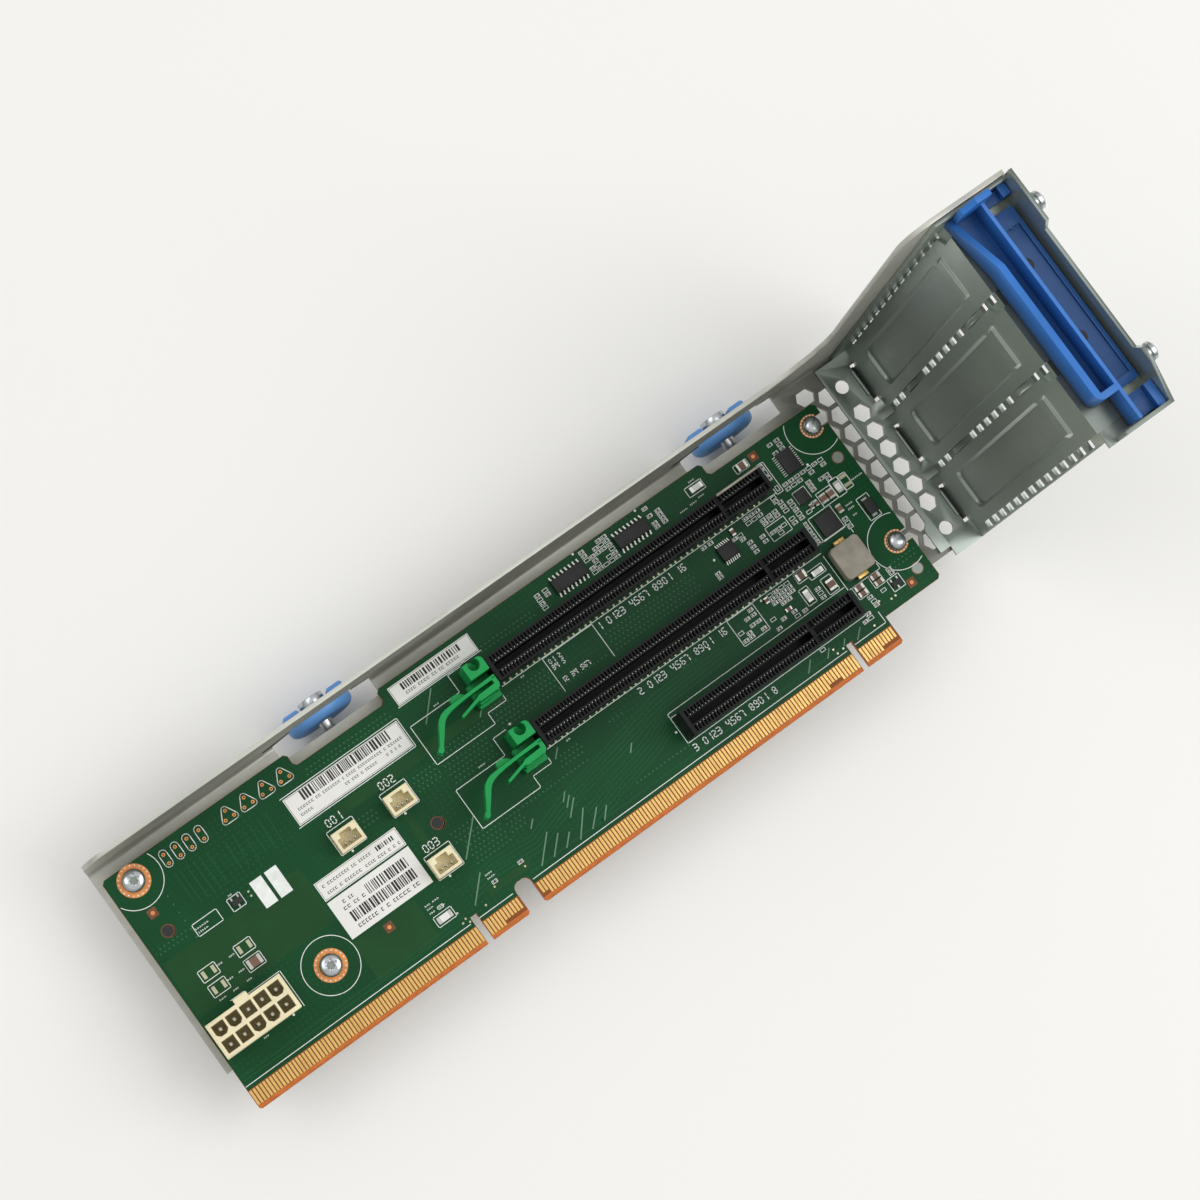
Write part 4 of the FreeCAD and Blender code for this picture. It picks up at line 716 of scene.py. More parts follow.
def repeat_on_points(tree, source, shape):
    """End a group: one copy of a shape on each point, turned and stretched by the points' attributes."""
    turn, stretch = (
        add_node(tree, "GeometryNodeInputNamedAttribute", {"Name": name}, data_type="FLOAT_VECTOR")
        for name in ("turn", "stretch")
    )
    euler = add_node(tree, "FunctionNodeEulerToRotation", {"Euler": turn.outputs["Attribute"]})
    copies = add_node(tree, "GeometryNodeInstanceOnPoints", {
        "Points": source["Points"], "Instance": shape, "Rotation": euler.outputs["Rotation"],
        "Scale": stretch.outputs["Attribute"],
    })
    real = add_node(tree, "GeometryNodeRealizeInstances", {"Geometry": copies.outputs["Instances"]})
    coated = add_node(tree, "GeometryNodeSetMaterial", {
        "Geometry": real.outputs["Geometry"], "Material": source["Finish"],
    })
    add_node(tree, "NodeGroupOutput", {"Pieces": coated.outputs["Geometry"]})
    return tree


def cube(tree, size, place):
    """A cube of a linked or plain size, moved to a linked or plain place, inside a group."""
    sides, middle = (add_node(tree, "ShaderNodeCombineXYZ", enumerate(values)) for values in (size, place))
    solid = add_node(tree, "GeometryNodeMeshCube", {"Size": sides.outputs["Vector"]})
    return add_node(tree, "GeometryNodeTransform", {
        "Geometry": solid.outputs["Mesh"], "Translation": middle.outputs["Vector"],
    }).outputs["Geometry"]


def blocks_group():
    """Blocks that stand on their points."""
    tree, source = node_group("Blocks on points", ("Long", "Wide", "High"))
    sides = [source[name] for name in ("Long", "Wide", "High")]
    middle = worked_out(tree, "MULTIPLY", sides[2], 0.5)
    return repeat_on_points(tree, source, cube(tree, sides, (0.0, 0.0, middle)))


def discs_group():
    """Small round discs about their points."""
    tree, source = node_group("Discs on points", ("Radius", "High"))
    disc = add_node(tree, "GeometryNodeMeshCylinder", {
        "Vertices": 10, "Radius": source["Radius"], "Depth": source["High"],
    })
    return repeat_on_points(tree, source, disc.outputs["Mesh"])


def leads_group():
    """Bent chip leads: a shoulder out of the body, a shin and a foot on the board."""
    tree, source = node_group("Leads on points", ("Reach", "Wide", "Rise", "Thick"))
    reach, wide, rise, thick = (source[name] for name in ("Reach", "Wide", "Rise", "Thick"))

    def half(value):
        return worked_out(tree, "MULTIPLY", value, 0.5)

    shoulder = worked_out(tree, "MULTIPLY", reach, 0.36)
    foot = worked_out(tree, "SUBTRACT", reach, shoulder)
    join = tree.nodes.new("GeometryNodeJoinGeometry")
    for size, place in (
        ((shoulder, wide, thick), (half(shoulder), 0.0, rise)),
        ((thick, wide, rise), (shoulder, 0.0, half(rise))),
        ((foot, wide, thick), (worked_out(tree, "ADD", shoulder, half(foot)), 0.0, half(thick))),
    ):
        feed(tree, join.inputs["Geometry"], cube(tree, size, place))
    return repeat_on_points(tree, source, join.outputs["Geometry"])


GROUPS = {"blocks": blocks_group, "discs": discs_group, "leads": leads_group}
grown = {}


class Points:
    """Board points for a group, each with its turn in degrees and its stretch."""

    def __init__(self):
        self.rows = []

    def add(self, across, up, rise=0.0, turn=0.0, stretch=(1.0, 1.0, 1.0)):
        """Add one point."""
        self.rows.append((on_board(across, up, rise), (0.0, 0.0, math.radians(turn)), stretch))

    def grow(self, name, kind, lengths, slot, nodes=()):
        """Run a group over the points and keep the result as one plain piece."""
        if kind not in grown:
            grown[kind] = GROUPS[kind]()
        mesh = bpy.data.meshes.new(name)
        mesh.from_pydata([row[0] for row in self.rows], [], [])
        for label, column in (("turn", 1), ("stretch", 2)):
            attribute = mesh.attributes.new(label, "FLOAT_VECTOR", "POINT")
            attribute.data.foreach_set("vector", [part for row in self.rows for part in row[column]])
        piece = linked(name, mesh)
        modifier = piece.modifiers.new("Repeat", "NODES")
        modifier.node_group = grown[kind]
        values = {label: number * MM for label, number in lengths.items()}
        values["Finish"] = finish(slot)
        for item in grown[kind].interface.items_tree:
            if item.in_out == "INPUT" and item.name in values:
                modifier[item.identifier] = values[item.name]
        settled(piece)
        return seat(piece, "root", nodes)


class RISER_OT_stage(bpy.types.Operator):
    """Floor, soft light and the camera"""

    bl_idname = "riser.stage"
    bl_label = "Stage"

    def execute(self, context):
        stage = context.scene.riser.stage
        context.scene.view_settings.view_transform = "Standard"
        self.floor(stage)
        self.sky(context, stage)
        self.lamp("Key", stage.key_power, 1.1, Vector((0.8, -0.35, 1.25)))
        self.lamp("Fill", stage.fill_power, 0.8, Vector((-0.6, 0.7, 1.2)))
        lens = bpy.data.cameras.new("Camera")
        lens.lens = stage.lens
        lens.sensor_width = 36.0
        lens.clip_start = 0.01
        camera = linked("Camera", lens)
        camera.location = stage.camera_place
        camera.rotation_euler = stage.camera_turn
        context.scene.camera = camera
        return {"FINISHED"}

    def floor(self, stage):
        """A pale paper floor just under the lowest piece."""
        half = stage.floor_size / 2
        level = CAD_BOX[0].z - 0.1 * MM
        mesh = bpy.data.meshes.new("Floor")
        corners = [(-half, -half, level), (half, -half, level), (half, half, level), (-half, half, level)]
        mesh.from_pydata(corners, [], [(0, 1, 2, 3)])
        paint = Paint("floor_paper", 0.9)
        paint.put("Base Color", paint.mixed(paint.noise(3.0, 2.0), darker(stage.floor, 0.985), stage.floor))
        mesh.materials.append(paint.material)
        floor = linked("Floor", mesh)

    def sky(self, context, stage):
        """Soft light that fades from overhead to the sides."""
        world = bpy.data.worlds.new("Studio")
        world.use_nodes = True
        tree = world.node_tree
        way = add_node(tree, "ShaderNodeTexCoord").outputs["Generated"]
        up = add_node(tree, "ShaderNodeSeparateXYZ", {"Vector": way}).outputs["Z"]
        levels = {"Value": up, "To Min": stage.horizon, "To Max": stage.sky}
        fade = add_node(tree, "ShaderNodeMapRange", levels)
        background = tree.nodes["Background"].inputs
        feed(tree, background["Color"], (1.0, 1.0, 0.985, 1.0))
        feed(tree, background["Strength"], fade.outputs["Result"])
        context.scene.world = world

    def lamp(self, name, power, side, place):
        """A square lamp aimed at the middle of the riser."""
        light = bpy.data.lights.new(name, "AREA")
        light.energy = power
        light.size = side
        lamp = linked(name, light)
        lamp.location = place
        middle = (CAD_BOX[0] + CAD_BOX[1]) / 2
        lamp.rotation_euler = (middle - place).to_track_quat("-Z", "Y").to_euler()


COVER_UPS = (    # grid stops across a cover from its middle, each with the spacing up to the next
    (-8.0, 0.95), (-6.1, 0.2), (-2.7, 0.9), (2.7, 0.2), (6.1, 0.95), (8.0, 0.0),
)
COVER_RISES = (    # grid stops up a cover, in the same way
    (6.5, 1.1), (8.7, 0.2), (12.1, 2.4), (88.9, 0.2), (92.3, 0.5), (93.8, 0.2), (98.8, 0.8), (100.4, 0.0),
)
COVER_THICK = 0.86
FOOT_TOP = -6.0
FLANGE_INNER = 74.3
LATCHES = (71.2, 204.2)
# Painted shade: outlines, along the board from a latch's middle and up, of black sheets in the lanced slits
# beside its window.
LATCH_SLIT_SHADES = (
    ((-18.6, -6.0), (-15.6, -5.6), (-10.2, -1.6), (-10.2, -0.5), (-18.6, -3.4)),
    ((9.0, -0.4), (14.2, -2.0), (14.2, -1.2), (9.0, 0.1)),
)


def board_box(node):
    """A node's lowest and highest corners in board millimetres."""
    return [from_board(corner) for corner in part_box(node)]


def grid_lines(stops, shift=0.0):
    """Grid lines from stop to stop; each stop names the spacing up to the next one."""
    places = []
    for (start, gap), (end, _) in zip(stops, stops[1:]):
        count = round((end - start) / gap)
        places += [shift + start + (end - start) * step / count for step in range(count)]
    return places + [shift + stops[-1][0]]


class Dent(NamedTuple):
    """A dent with round corners and sloping sides that is pressed into a slot cover."""

    middle: float       # its height on the cover
    half_up: float
    half_rise: float
    corner: float
    slope: float        # width of its sides
    depth: float        # towards the cards, or away from them below nought

    def pressed(self, up, rise):
        """How deep the cover is pressed at a place; up is counted from the cover's middle line."""
        over_up = abs(up) - self.half_up + self.corner
        over_rise = abs(rise - self.middle) - self.half_rise + self.corner
        outside = math.hypot(max(over_up, 0.0), max(over_rise, 0.0))
        gap = outside + min(max(over_up, over_rise), 0.0) - self.corner
        share = min(max(-gap / self.slope, 0.0), 1.0)
        return self.depth * share * share * (3.0 - 2.0 * share)


PANEL = Dent(50.5, 5.9, 41.6, 3.0, 0.85, 1.05)
RIB = Dent(96.3, 5.9, 2.3, 0.9, 0.8, -0.7)


class RISER_OT_sheet_metal(bpy.types.Operator):
    """Folded cage, end bracket and slot covers with softened edges"""

    bl_idname = "riser.sheet_metal"
    bl_label = "Sheet metal"

    def execute(self, context):
        for node in ("cage_sheet", "end_bracket"):
            softened(node, sizes().sheet_edge)
        for number in (1, 2, 3):
            self.cover(number)
        self.tail_loops()
        self.latch_slits()
        return {"FINISHED"}

    def cover(self, number):
        """A slot cover with a pressed panel and rib, a tapered tail and a bent tab."""
        node = f"slot_cover_{number}"
        (left, front, tip), (right, back, top) = board_box(node)
        bay = (front + back) / 2
        inner = left + COVER_THICK
        tail, waist, shoulder = 5.1, -2.4, 1.6
        notch, notch_low, notch_high = back - 2.4, top - 8.4, top - 6.0
        half = COVER_UPS[-1][0]
        floor, ceiling = COVER_RISES[0][0], COVER_RISES[-1][0]
        shape = Shape()
        for outline in (
            [(bay - tail, tip), (bay + tail, tip), (bay + tail, waist), (back, shoulder), (back, floor),
             (front, floor), (front, shoulder), (bay - tail, waist)],
            [(front, floor), (bay - half, floor), (bay - half, ceiling), (front, ceiling)],
            [(bay + half, floor), (back, floor), (back, ceiling), (bay + half, ceiling)],
            [(front, ceiling), (back, ceiling), (back, notch_low), (notch, notch_high), (notch, top),
             (front, top)],
        ):
            shape.upright(outline, left, inner)
        shape.box(inner, front, right, notch, top - COVER_THICK, top)
        shape.sheet(left, COVER_THICK, grid_lines(COVER_UPS, bay), grid_lines(COVER_RISES),
                    lambda up, rise: PANEL.pressed(up - bay, rise) + RIB.pressed(up - bay, rise))
        shape.piece(f"{node}_pressed", "dark_steel", "root", [node], 38)

    def tail_loops(self):
        """Pressed loops in the foot that hold the tails of the covers, and black sheets behind them as
        painted shade in each slit.
        """
        loops, slit_shades = Shape(), Shape()
        for number in (1, 2, 3):
            (left, front, _), (_, back, _) = board_box(f"slot_cover_{number}")
            bay = (front + back) / 2
            section = [(left - 1.15 + 0.62 * across, FOOT_TOP + 0.9 * rise)
                       for across, rise in arc((0.0, 0.0), 1.0, 0, 180, 8)]
            loops.crosswise(section, bay - 3.4, bay + 4.4)
            # Painted shade: a black sheet under each slit in the foot, where a cover's tail passes through.
            slit_shades.box(left - 0.7, bay - 5.0, left - 0.02, bay + 5.4, FOOT_TOP - 0.9, FOOT_TOP - 0.3)
        loops.piece("tail_loops", "dark_steel", "root", (), 50)
        slit_shades.piece("tail_slits", "chip_black")

    def latch_slits(self):
        """Black sheets on the flange beside the latch windows, where it is lanced, as painted shade in each
        slit.
        """
        slit_shades = Shape()
        for middle in LATCHES:
            for outline in LATCH_SLIT_SHADES:
                # Painted shade: black sheets on the flange's inner face in the lanced slits.
                slit_shades.crosswise(moved(outline, middle, 0.0), FLANGE_INNER - 0.08, FLANGE_INNER + 0.1)
        slit_shades.piece("latch_slits", "chip_black")


FINGER_LOW, FINGER_HIGH, SENSE_LOW = 1.3, 5.45, 2.35
FINGER_ROWS = (    # place of the first finger, how many, and which of them are short sense fingers
    (0.55, 71, ()), (73.55, 11, range(5, 11)),
    (90.55, 104, (0, 1, 94, 95, 96, 97)), (196.55, 11, range(6, 11)),
)
SHORT_TRACES = (    # start and end of each
    ((94.0, 8.2), (100.2, 14.6)), ((98.0, 8.2), (102.4, 12.7)), ((102.0, 8.2), (105.0, 11.2)),
    ((106.2, 7.8), (111.6, 14.2)), ((110.4, 8.2), (114.6, 12.3)), ((114.2, 8.2), (117.0, 11.2)),
    ((107.4, 14.0), (111.2, 17.8)), ((108.2, 16.6), (110.6, 19.0)), ((108.2, 18.3), (110.2, 20.4)),
    ((97.3, 17.6), (99.2, 19.5)), ((130.2, 18.5), (132.0, 20.5)), ((79.0, 21.0), (87.0, 29.0)),
    ((113.2, 28.6), (115.4, 30.8)), ((181.4, 8.0), (184.0, 10.7)), ((188.0, 8.2), (190.0, 10.4)),
    ((193.6, 8.4), (195.0, 10.0)), ((197.6, 7.6), (200.2, 10.0)), ((74.0, 10.0), (80.0, 16.2)),
    ((91.0, 55.5), (97.5, 62.5)), ((103.6, 48.9), (105.0, 50.4)),
)
BUNDLES = (    # corners of the first trace, how many lie side by side, and their spacing
    (((76.0, 16.0), (84.0, 17.4), (96.0, 16.2), (112.0, 21.0), (126.0, 23.6), (144.0, 27.4),
      (166.0, 28.4)), 5, 1.15),
    (((112.0, 13.5), (122.0, 16.4), (136.0, 19.6), (143.0, 22.2)), 6, 1.1),
    (((16.5, 61.5), (16.5, 52.5)), 1, 1.0), (((18.0, 61.5), (18.0, 51.5)), 1, 1.0),
    (((20.0, 61.5), (20.0, 51.5)), 1, 1.0), (((22.0, 61.5), (22.0, 51.5)), 1, 1.0),
    (((24.0, 61.5), (24.0, 51.5)), 1, 1.0), (((26.0, 61.5), (26.0, 51.5)), 1, 1.0),
    (((31.5, 60.5), (31.0, 52.5)), 1, 1.0), (((34.0, 60.5), (33.0, 52.0)), 1, 1.0),
    (((36.5, 60.5), (36.0, 52.0)), 1, 1.0), (((39.0, 60.5), (38.4, 52.0)), 1, 1.0),
    (((41.5, 60.5), (41.0, 52.0)), 1, 1.0), (((44.0, 60.5), (43.5, 52.0)), 1, 1.0),
    (((0.6, 9.4), (70.0, 9.4)), 2, 1.1), (((91.0, 8.6), (193.0, 8.6)), 1, 1.0),
)
PLANES = (    # left, low, right and high edge of each
    (72.2, 27.8, 74.2, 39.6), (58.5, 48.6, 112.0, 51.6), (1.0, 28.0, 42.8, 44.2), (43.0, 8.6, 62.0, 20.6),
    (78.6, 9.6, 92.0, 11.6), (143.0, 63.0, 143.4, 69.0),
)
VIA_FIELDS = (    # left, low, right and high edge of each
    (79.5, 42.2, 87.0, 46.6), (88.6, 38.6, 102.0, 44.6), (106.8, 43.0, 125.0, 50.0),
    (127.0, 43.0, 141.0, 44.0), (143.5, 42.6, 172.0, 48.9), (81.0, 18.4, 92.0, 24.8),
    (93.0, 19.7, 98.0, 24.8), (99.0, 23.6, 120.0, 24.6), (113.5, 26.0, 121.0, 29.6),
    (79.6, 26.0, 86.4, 29.6), (11.8, 45.0, 12.2, 58.6), (62.6, 43.0, 67.4, 46.6), (58.5, 62.6, 84.5, 64.8),
    (2.0, 46.6, 11.0, 48.0), (130.5, 28.4, 135.4, 28.6), (127.0, 11.2, 144.0, 11.4),
    (155.0, 28.4, 160.0, 28.5), (216.5, 17.4, 225.0, 19.2), (114.0, 62.6, 131.0, 64.8),
    (88.5, 46.4, 104.0, 47.8),
)
SHORT_WIDE, LONG_WIDE = 0.36, 0.3
PLANE_TOP, LONG_TOP, SHORT_TOP = 0.006, 0.008, 0.012    # each above the last, so that crossings don't flicker
VIA_GAP, VIA_ROW = 1.3, 1.27


class RISER_OT_board(bpy.types.Operator):
    """Circuit board with planes, traces and vias under its mask, and its gold fingers"""

    bl_idname = "riser.board"
    bl_label = "Board"

    def execute(self, context):
        softened("circuit_board", sizes().board_edge, 1, False)
        self.fingers()
        self.traces()
        self.vias()
        return {"FINISHED"}

    def fingers(self):
        """Gold fingers on both faces beside the two keys; the sense fingers at the row ends are shorter."""
        pitch = sizes().finger_pitch / MM
        full = FINGER_HIGH - FINGER_LOW
        front, back = Points(), Points()
        for start, count, shorts in FINGER_ROWS:
            for step in range(count):
                foot = SENSE_LOW if step in shorts else FINGER_LOW
                middle = (foot + FINGER_HIGH) / 2
                stretch = (1.0, (FINGER_HIGH - foot) / full, 1.0)
                for face, rise in ((front, 0.0), (back, -BOARD_THICK - 0.03)):
                    face.add(start + step * pitch, middle, rise, 0.0, stretch)
        sides = {"Long": sizes().finger_wide / MM, "Wide": full, "High": 0.04}
        front.grow("gold_fingers", "blocks", sides, "gold", ["edge_contacts"])
        back.grow("back_fingers", "blocks", sides, "gold")

    def traces(self):
        """Traces and planes that show paler under the mask."""
        short, long, planes = Shape(), Shape(), Shape()
        for start, end in SHORT_TRACES:
            short.bar(start, end, SHORT_WIDE, SUNK, SHORT_TOP)
        for corners, count, gap in BUNDLES:
            for step in range(count):
                path = moved(corners, 0.0, -step * gap)
                for start, end in zip(path, path[1:]):
                    long.bar(start, end, LONG_WIDE, SUNK, LONG_TOP)
        for corners in PLANES:
            planes.box(*corners, SUNK, PLANE_TOP)
        short.piece("short_traces", "mask_trace")
        long.piece("long_traces", "mask_light")
        planes.piece("copper_planes", "mask_plane")

    def vias(self):
        """Fields of filled vias in staggered rows."""
        dots = Points()
        for left, low, right, high in VIA_FIELDS:
            row = 0
            up = low
            while up <= high:
                across = left + (row % 2) * VIA_GAP / 2
                while across <= right:
                    dots.add(across, up, PLANE_TOP)
                    across += VIA_GAP
                row += 1
                up += VIA_ROW
        dots.grow("via_dots", "discs", {"Radius": 0.22, "High": 0.02}, "mask_pale")


SCREWS = ((7.1, 65.9), (35.2, 19.2))
STUDS = ((222.3, 61.2), (222.3, 22.9))
OVALS = (16.85, 20.4, 23.95, 27.65)    # middles along the board
TRIANGLES = (36.0, 41.8, 47.5, 53.2)    # middles along the board
PRINT_FRAMES = (    # left, low, right and high edge of each
    (12.4, 44.6, 19.8, 48.1), (23.1, 44.6, 27.0, 48.2), (53.6, 40.3, 61.5, 47.4), (70.2, 40.3, 78.1, 47.4),
    (70.2, 20.5, 78.1, 27.6), (6.7, 34.2, 11.7, 37.5), (17.6, 34.2, 22.6, 37.5), (6.7, 29.6, 11.7, 33.0),
    (17.6, 29.6, 22.6, 33.0), (63.2, 10.7, 68.7, 13.7), (171.7, 23.6, 180.2, 31.8),
    (183.5, 64.2, 188.8, 67.0), (195.0, 41.7, 201.2, 46.0), (206.7, 45.6, 210.6, 49.4),
    (206.0, 34.0, 213.2, 41.3), (211.8, 41.4, 216.5, 45.6), (216.7, 41.3, 219.4, 46.4),
    (219.6, 41.7, 222.0, 46.2), (220.0, 31.2, 223.6, 38.2), (193.6, 28.7, 197.0, 31.5),
    (197.0, 27.5, 202.0, 30.0), (192.3, 22.3, 195.0, 27.3), (198.8, 21.5, 202.0, 26.3),
    (213.6, 12.1, 217.4, 15.9), (204.6, 15.8, 207.8, 19.5), (210.0, 15.8, 213.2, 19.5),
    (203.4, 51.5, 205.4, 61.0), (197.8, 62.0, 202.0, 64.4),
)
PRINT_PATHS = (    # corners of each open line
    ((0.3, 6.8), (70.2, 6.8)), ((73.0, 6.8), (83.6, 6.8)), ((90.2, 6.8), (193.4, 6.9)),
    ((196.3, 7.0), (206.7, 7.0), (206.7, 10.4)),
    ((87.2, 45.2), (87.2, 57.3), (103.0, 57.3), (103.0, 62.7), (107.0, 62.7)),
    ((87.2, 45.2), (105.8, 45.2), (105.8, 48.6), (111.8, 48.6), (111.8, 50.0)),
    ((87.2, 24.9), (87.2, 37.0), (103.0, 37.0), (103.0, 42.4), (107.0, 42.4)),
    ((87.2, 24.9), (105.8, 24.9), (105.8, 28.4), (111.8, 28.4), (111.8, 30.0)),
    ((113.0, 52.1), (203.2, 52.1)), ((113.0, 32.0), (203.4, 32.0)),
    ((205.0, 11.7), (144.1, 11.7), (144.1, 21.0), (203.0, 21.0)), ((144.1, 19.7), (146.0, 19.7)),
    ((125.8, 41.6), (125.8, 51.9), (141.9, 51.9), (141.9, 41.6)),
    ((23.9, 14.9), (23.9, 25.7), (13.7, 25.7), (13.7, 26.8), (9.6, 26.8)),
    ((203.5, 34.2), (214.2, 34.2), (214.2, 31.6)),
    ((203.5, 31.0), (203.5, 19.6), (214.2, 19.6), (214.2, 21.2)),
    ((48.9, 52.4), (85.6, 52.4), (85.6, 61.3), (48.9, 61.3)), ((87.7, 63.1), (114.0, 63.1)),
)
PRINT_DOTS = (
    (20.4, 14.6), (56.6, 39.8), (73.2, 39.8), (73.2, 20.0), (108.3, 63.3), (108.8, 43.0), (148.8, 69.9),
    (169.3, 69.9), (215.0, 53.4), (178.8, 47.0), (182.6, 31.0), (143.2, 15.9),
)
PRINT_NUMBERS = (    # figures, left edge, low edge and height
    ("001", 55.0, 48.2, 2.0), ("002", 71.6, 48.2, 2.0), ("003", 71.6, 28.3, 2.0),
    ("1 0123 4567 8901 16", 142.8, 49.3, 1.8), ("2 0123 4567 8901 16", 141.6, 29.2, 1.8),
    ("3 0123 4567 8901 8", 144.8, 8.8, 1.8), ("12 34 567", 126.8, 43.6, 1.2), ("01 2", 126.8, 49.6, 1.2),
    ("34 5", 126.8, 47.8, 1.2),
)
PRINT_ROWS = (    # start along the board, place across it, and end
    (12.7, 46.6, 16.2), (12.9, 45.5, 15.6), (7.4, 28.4, 9.0), (11.6, 28.4, 13.2), (15.8, 28.4, 17.4),
    (11.9, 36.0, 13.2), (15.6, 36.0, 17.0), (11.9, 31.4, 13.4), (15.4, 31.4, 17.0), (63.3, 15.0, 65.0),
    (63.3, 16.2, 65.0), (63.3, 17.2, 65.0), (65.6, 15.0, 67.6), (65.6, 17.2, 67.6), (80.6, 13.6, 82.8),
    (80.6, 14.7, 82.8), (179.0, 62.4, 181.4), (182.4, 62.6, 184.6), (185.4, 63.0, 187.2),
    (185.6, 67.8, 187.0), (222.4, 43.2, 225.6), (216.8, 37.2, 218.8), (216.8, 38.4, 218.6),
    (217.0, 35.2, 218.0), (95.4, 58.2, 96.8), (95.6, 38.4, 97.2), (118.4, 51.2, 119.4),
    (118.4, 30.8, 119.4), (11.0, 14.1, 12.2), (24.2, 48.8, 25.4),
)
PRINT_RINGS = (7.6, 7.65, 7.7, 7.9)
PRINT_FIELDS = (30.3, 34.9)
PRINT_MARGIN = 0.3
BOARD_STEP, STEP_DEEP = 190.0, 4.4    # where the far edge steps back beside the latches, and how far
SEGMENTS = {
    "0": "abcdef", "1": "bc", "2": "abged", "3": "abgcd", "4": "fgbc", "5": "afgcd", "6": "afgedc",
    "7": "abc", "8": "abcdefg", "9": "abcdfg", " ": "",
}


class RISER_OT_print(bpy.types.Operator):
    """White print on the board: frames, rings, rules and plain numbers"""

    bl_idname = "riser.print"
    bl_label = "Board print"

    def execute(self, context):
        self.ink = Shape()
        self.wide = sizes().print_wide / MM
        self.high = sizes().print_high / MM
        for left, low, right, high in PRINT_FRAMES:
            self.outline([(left, low), (right, low), (right, high), (left, high)])
        for corners in PRINT_PATHS:
            self.path(corners)
        for middle in PRINT_DOTS:
            self.ink.disc(middle, 0.34, SUNK, self.high)
        for middle, radius in zip(SCREWS + STUDS, PRINT_RINGS):
            self.ring(middle, radius)
        for across in OVALS:
            self.outline(moved(self.oval(), across, 65.85))
        for across in TRIANGLES:
            self.outline(moved(self.triangle(), across, 66.0))
        for row in PRINT_NUMBERS:
            self.number(*row)
        for row in PRINT_ROWS:
            self.dashes(*row)
        for left in PRINT_FIELDS:
            self.ink.box(left, 40.5, left + 3.6, 48.4, SUNK, self.high)
        self.ink.piece("board_print", "print_white")
        return {"FINISHED"}

    def path(self, corners, bold=1.0):
        """Straight print lines through board points, a little long so that their corners close."""
        wide = self.wide * bold
        for start, end in zip(corners, corners[1:]):
            first = Vector(start)
            last = Vector(end)
            spare = (last - first).normalized() * wide / 2
            self.ink.bar(first - spare, last + spare, wide, SUNK, self.high)

    def outline(self, corners):
        """A closed print line."""
        self.path(corners + corners[:1])

    def ring(self, middle, radius):
        """A print circle, left out where the board ends."""
        places = arc(middle, radius, 0, 360, 72)
        for ends in zip(places, places[1:]):
            if all(self.inside(*place) for place in ends):
                self.ink.bar(*ends, self.wide, SUNK, self.high)

    @staticmethod
    def inside(across, up):
        """Whether a place is on the board, off its end edges and its far edge."""
        far = BOARD_WIDE - (STEP_DEEP if across > BOARD_STEP else PRINT_MARGIN)
        return PRINT_MARGIN < across < BOARD_LONG - PRINT_MARGIN and up < far

    @staticmethod
    def oval():
        """Corners of a stadium."""
        half = arc((0.0, 1.35), 1.1, 0, 180, 6)
        return half + [(-across, -up) for across, up in half]

    @staticmethod
    def triangle():
        """Corners of a triangle with rounded tips."""
        tips = (((1.45, -1.25), -90.0), ((0.0, 1.5), 30.0), ((-1.45, -1.25), 150.0))
        return [place for middle, first in tips for place in arc(middle, 0.85, first, first + 120.0, 4)]

    def number(self, text, left, low, tall):
        """Plain numbers from straight strokes."""
        wide = tall * 0.5
        mid = tall / 2
        strokes = {
            "a": ((0, tall), (wide, tall)), "b": ((wide, tall), (wide, mid)), "c": ((wide, mid), (wide, 0)),
            "d": ((0, 0), (wide, 0)), "e": ((0, 0), (0, mid)), "f": ((0, mid), (0, tall)),
            "g": ((0, mid), (wide, mid)),
        }
        for place, figure in enumerate(text):
            for name in SEGMENTS[figure]:
                self.path(moved(strokes[name], left + place * tall * 0.85, low), 1.35)

    def dashes(self, left, up, right):
        """A row of short crossed dashes in a few lengths."""
        across = left
        draw = random.Random(int(left * 10 + up * 100))
        while across < right:
            long = draw.choice((0.28, 0.4, 0.5))
            self.ink.bar((across, up - 0.22), (across + long * 0.2, up + 0.26), 0.16, SUNK, self.high)
            self.ink.bar((across, up), (across + long, up), 0.16, SUNK, self.high)
            across += long + 0.22


BARE_PADS = ((7.8, 35.9), (10.7, 35.9), (18.7, 35.9), (21.6, 35.9), (7.8, 31.3), (10.7, 31.3))
FIDUCIALS = ((6.3, 56.4), (52.9, 18.4), (219.0, 11.6), (204.2, 63.6))
PLATE_VIEWS = ((223.0, 50.3), (222.6, 13.8))
TOOL_HOLES = ((6.8, 50.5), (78.4, 33.0))
BARE_VIAS = (
    (68.8, 8.1), (70.0, 8.7), (70.5, 7.4), (76.3, 8.5), (69.1, 11.1), (80.9, 11.0), (90.4, 10.7),
    (190.6, 9.3), (191.0, 7.8), (193.0, 8.0), (203.6, 8.1), (163.6, 28.6), (29.0, 45.5), (29.0, 46.8),
    (208.6, 12.6), (211.8, 11.2), (213.2, 11.3),
)
RING_DOTS = (    # fixings, radius, first angle, step and count
    (SCREWS, 3.95, 0.0, 18.0, 20), (STUDS, 3.0, 48.0, 17.6, 16),
)
HOLE_RADIUS = 1.5


